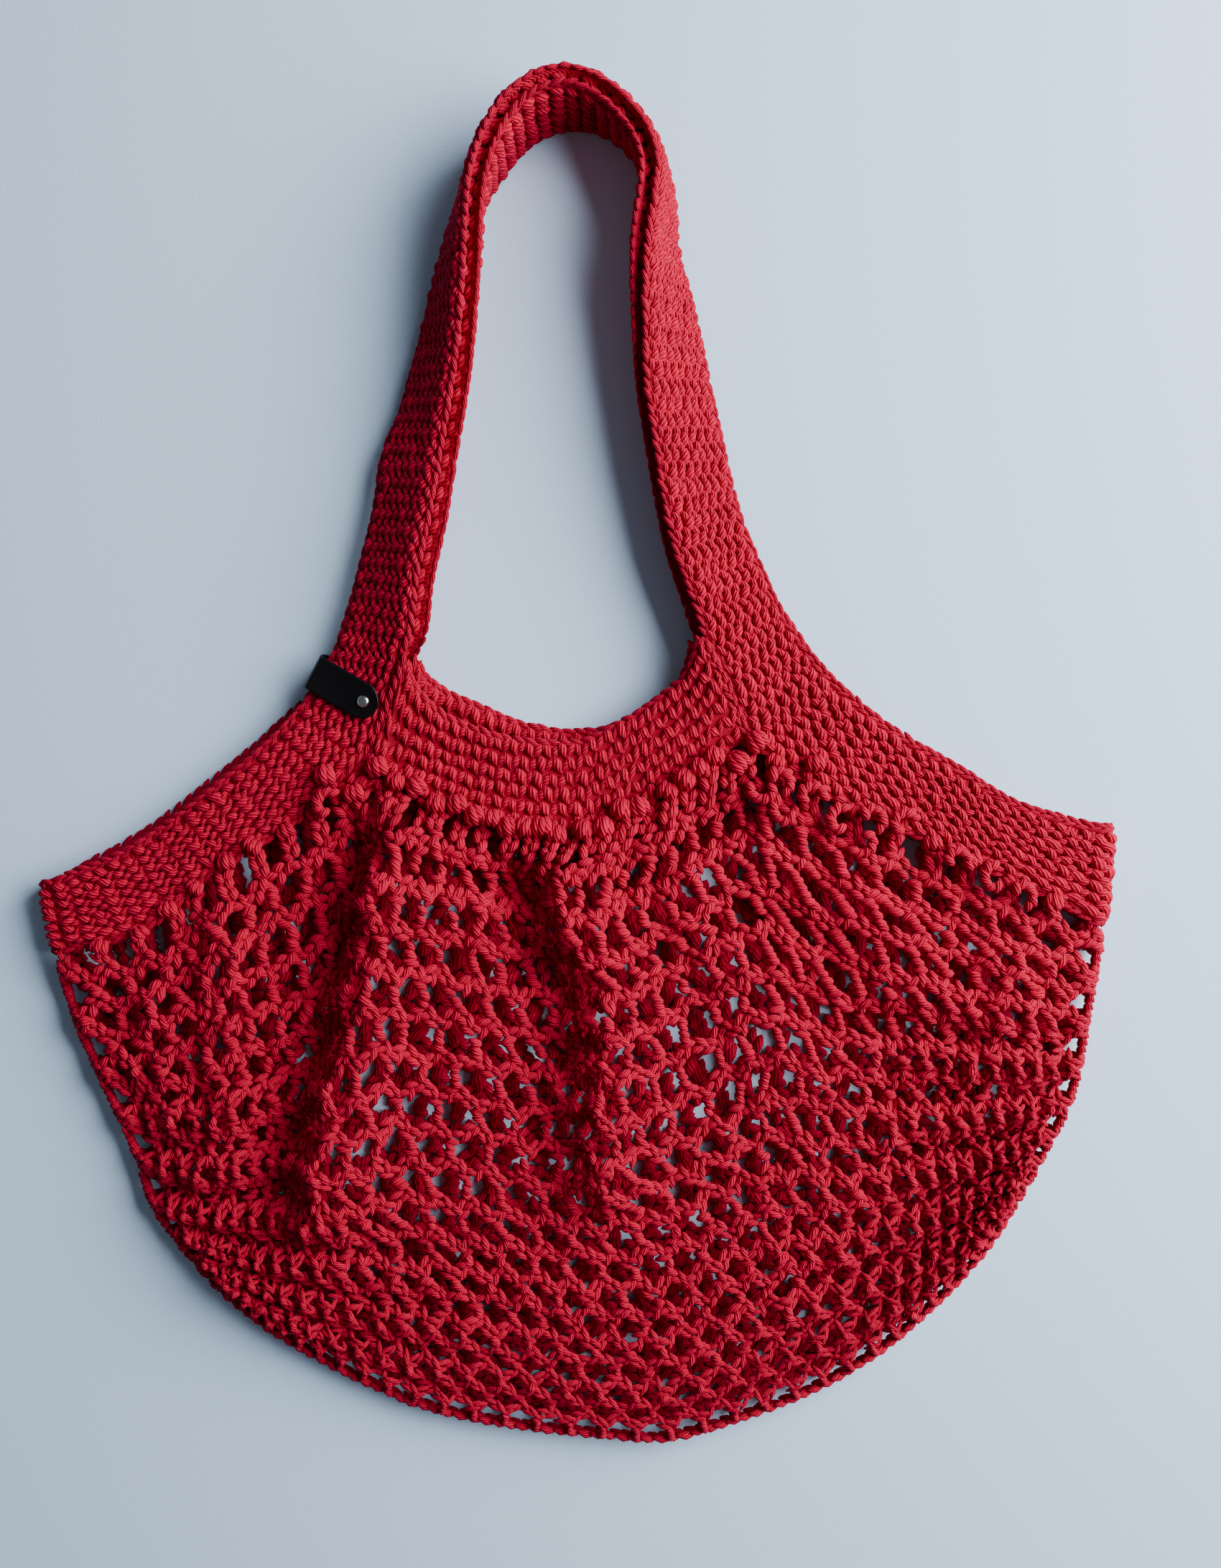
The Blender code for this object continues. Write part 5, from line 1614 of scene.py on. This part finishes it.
def turned_piece(name, profile, centre, axis, material):
    """Make a closed round piece about an axis from its profile of (radius, level)."""
    sides = RIVET_SIDES
    first = unit(np.cross(axis, (0.0, 1.0, 0.0)))
    second = np.cross(axis, first)
    turns = np.linspace(0.0, 2 * np.pi, sides, endpoint=False)[:, None]
    spokes = first * np.cos(turns) + second * np.sin(turns)
    rings = [centre + axis * level + spokes * radius for radius, level in profile[1:-1]]
    ends = [centre + axis * profile[0][1], centre + axis * profile[-1][1]]
    points = in_metres(np.concatenate([*rings, np.array(ends)]))
    low_tip, high_tip, last_ring = len(points) - 2, len(points) - 1, len(points) - 2 - sides
    faces = []
    for side in range(sides):
        after = (side + 1) % sides
        for near in range(0, last_ring, sides):
            far = near + sides
            faces.append((near + side, near + after, far + after, far + side))
        faces.append((after, side, low_tip))
        faces.append((last_ring + side, last_ring + after, high_tip))
    return mesh_piece(name, points, faces, material)


class MARKET_BAG_OT_label(bpy.types.Operator):
    """Make the leather label and its rivet"""

    bl_idname = "market_bag.label"
    bl_label = "Label"

    def execute(self, context):
        settings = context.scene.market_bag
        lay = Label()
        faces = [label_face(lay, offset) for offset in (LABEL_THICK / 2, -LABEL_THICK / 2)]
        leather = plain_material("leather", settings.leather_colour, roughness=0.38, shine=0.25,
                                 grain=0.0003, grain_scale=1400.0)
        label = closed_sheet("label", *faces, leather)
        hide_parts("leather_label")
        b = LABEL_LENGTH - RIVET_FROM_END
        axis = unit(lay.point(0.0, b, 1.0) - lay.point(0.0, b, -1.0))
        centre = lay.point(0.0, b, 0.0)
        metal = plain_material("nickel", NICKEL_COLOUR, roughness=0.22, metallic=1.0)
        rivet = turned_piece("rivet", rivet_profile(), centre, axis, metal)
        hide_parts("label_rivet")
        return {"FINISHED"}


class MARKET_BAG_OT_stage(bpy.types.Operator):
    """Make the floor, the window light, the room's light and the camera"""

    bl_idname = "market_bag.stage"
    bl_label = "Stage"

    def execute(self, context):
        settings = context.scene.market_stage
        bpy.ops.object.select_all(action="DESELECT")
        bpy.ops.mesh.primitive_plane_add(size=FLOOR_SIZE, location=(0.0, 0.0, 0.0))
        floor = context.object
        floor.name = "floor"
        floor.data.materials.append(
            plain_material("pale cloth", settings.floor_colour, roughness=0.9, grain=0.0002,
                           grain_scale=900.0))
        bpy.ops.object.light_add(type="AREA", location=WINDOW_PLACE)
        key = context.object
        key.name = "window light"
        key.data.shape = "RECTANGLE"
        key.data.size, key.data.size_y = WINDOW_SIZE
        key.data.energy = settings.key_power
        key.data.color = WINDOW_COLOUR
        point_at(key, WINDOW_AIM)
        world = bpy.data.worlds.new("room")
        context.scene.world = world
        world.use_nodes = True
        background = world.node_tree.nodes["Background"]
        background.inputs["Color"].default_value = (*ROOM_COLOUR, 1.0)
        background.inputs["Strength"].default_value = settings.sky_strength
        bpy.ops.object.camera_add(
            location=tuple(value * MM for value in CAMERA_PLACE), rotation=(0.0, 0.0, 0.0))
        camera = context.object
        camera.data.sensor_fit = "VERTICAL"
        camera.data.angle = 2 * math.atan(PICTURE_HEIGHT / 2 / CAMERA_PLACE[2])
        context.scene.camera = camera
        return {"FINISHED"}


def point_at(light, target):
    """Turn a light towards a point."""
    away = np.array(light.location) - np.array(target)
    away = away / np.linalg.norm(away)
    light.rotation_euler = (math.acos(away[2]), 0.0, math.atan2(away[0], -away[1]))


class MARKET_BAG_PT_panel(bpy.types.Panel):
    """Lists the bag's sizes, colours and pieces"""

    bl_idname = "MARKET_BAG_PT_panel"
    bl_label = "Market Bag"
    bl_space_type = "VIEW_3D"
    bl_region_type = "UI"
    bl_category = "Market Bag"

    def draw(self, context):
        for settings in (context.scene.market_bag, context.scene.market_stage):
            for name in settings.__annotations__:
                self.layout.prop(settings, name)
        for operator in OPERATORS:
            self.layout.operator(operator.bl_idname)


OPERATORS = (
    MARKET_BAG_OT_net, MARKET_BAG_OT_strap, MARKET_BAG_OT_yokes, MARKET_BAG_OT_bobbles,
    MARKET_BAG_OT_label, MARKET_BAG_OT_stage,
)
CLASSES = (BagSettings, StageSettings, *OPERATORS, MARKET_BAG_PT_panel)


def register():
    """Register the classes and the scene's settings."""
    for cls in CLASSES:
        bpy.utils.register_class(cls)
    bpy.types.Scene.market_bag = PointerProperty(type=BagSettings)
    bpy.types.Scene.market_stage = PointerProperty(type=StageSettings)


def unregister():
    """Remove the settings and the classes."""
    del bpy.types.Scene.market_stage
    del bpy.types.Scene.market_bag
    for cls in reversed(CLASSES):
        bpy.utils.unregister_class(cls)


def main():
    """Make every piece."""
    register()
    bpy.ops.market_bag.net()
    bpy.ops.market_bag.strap()
    bpy.ops.market_bag.yokes()
    bpy.ops.market_bag.bobbles()
    bpy.ops.market_bag.label()
    bpy.ops.market_bag.stage()


if __name__ == "__main__":
    main()
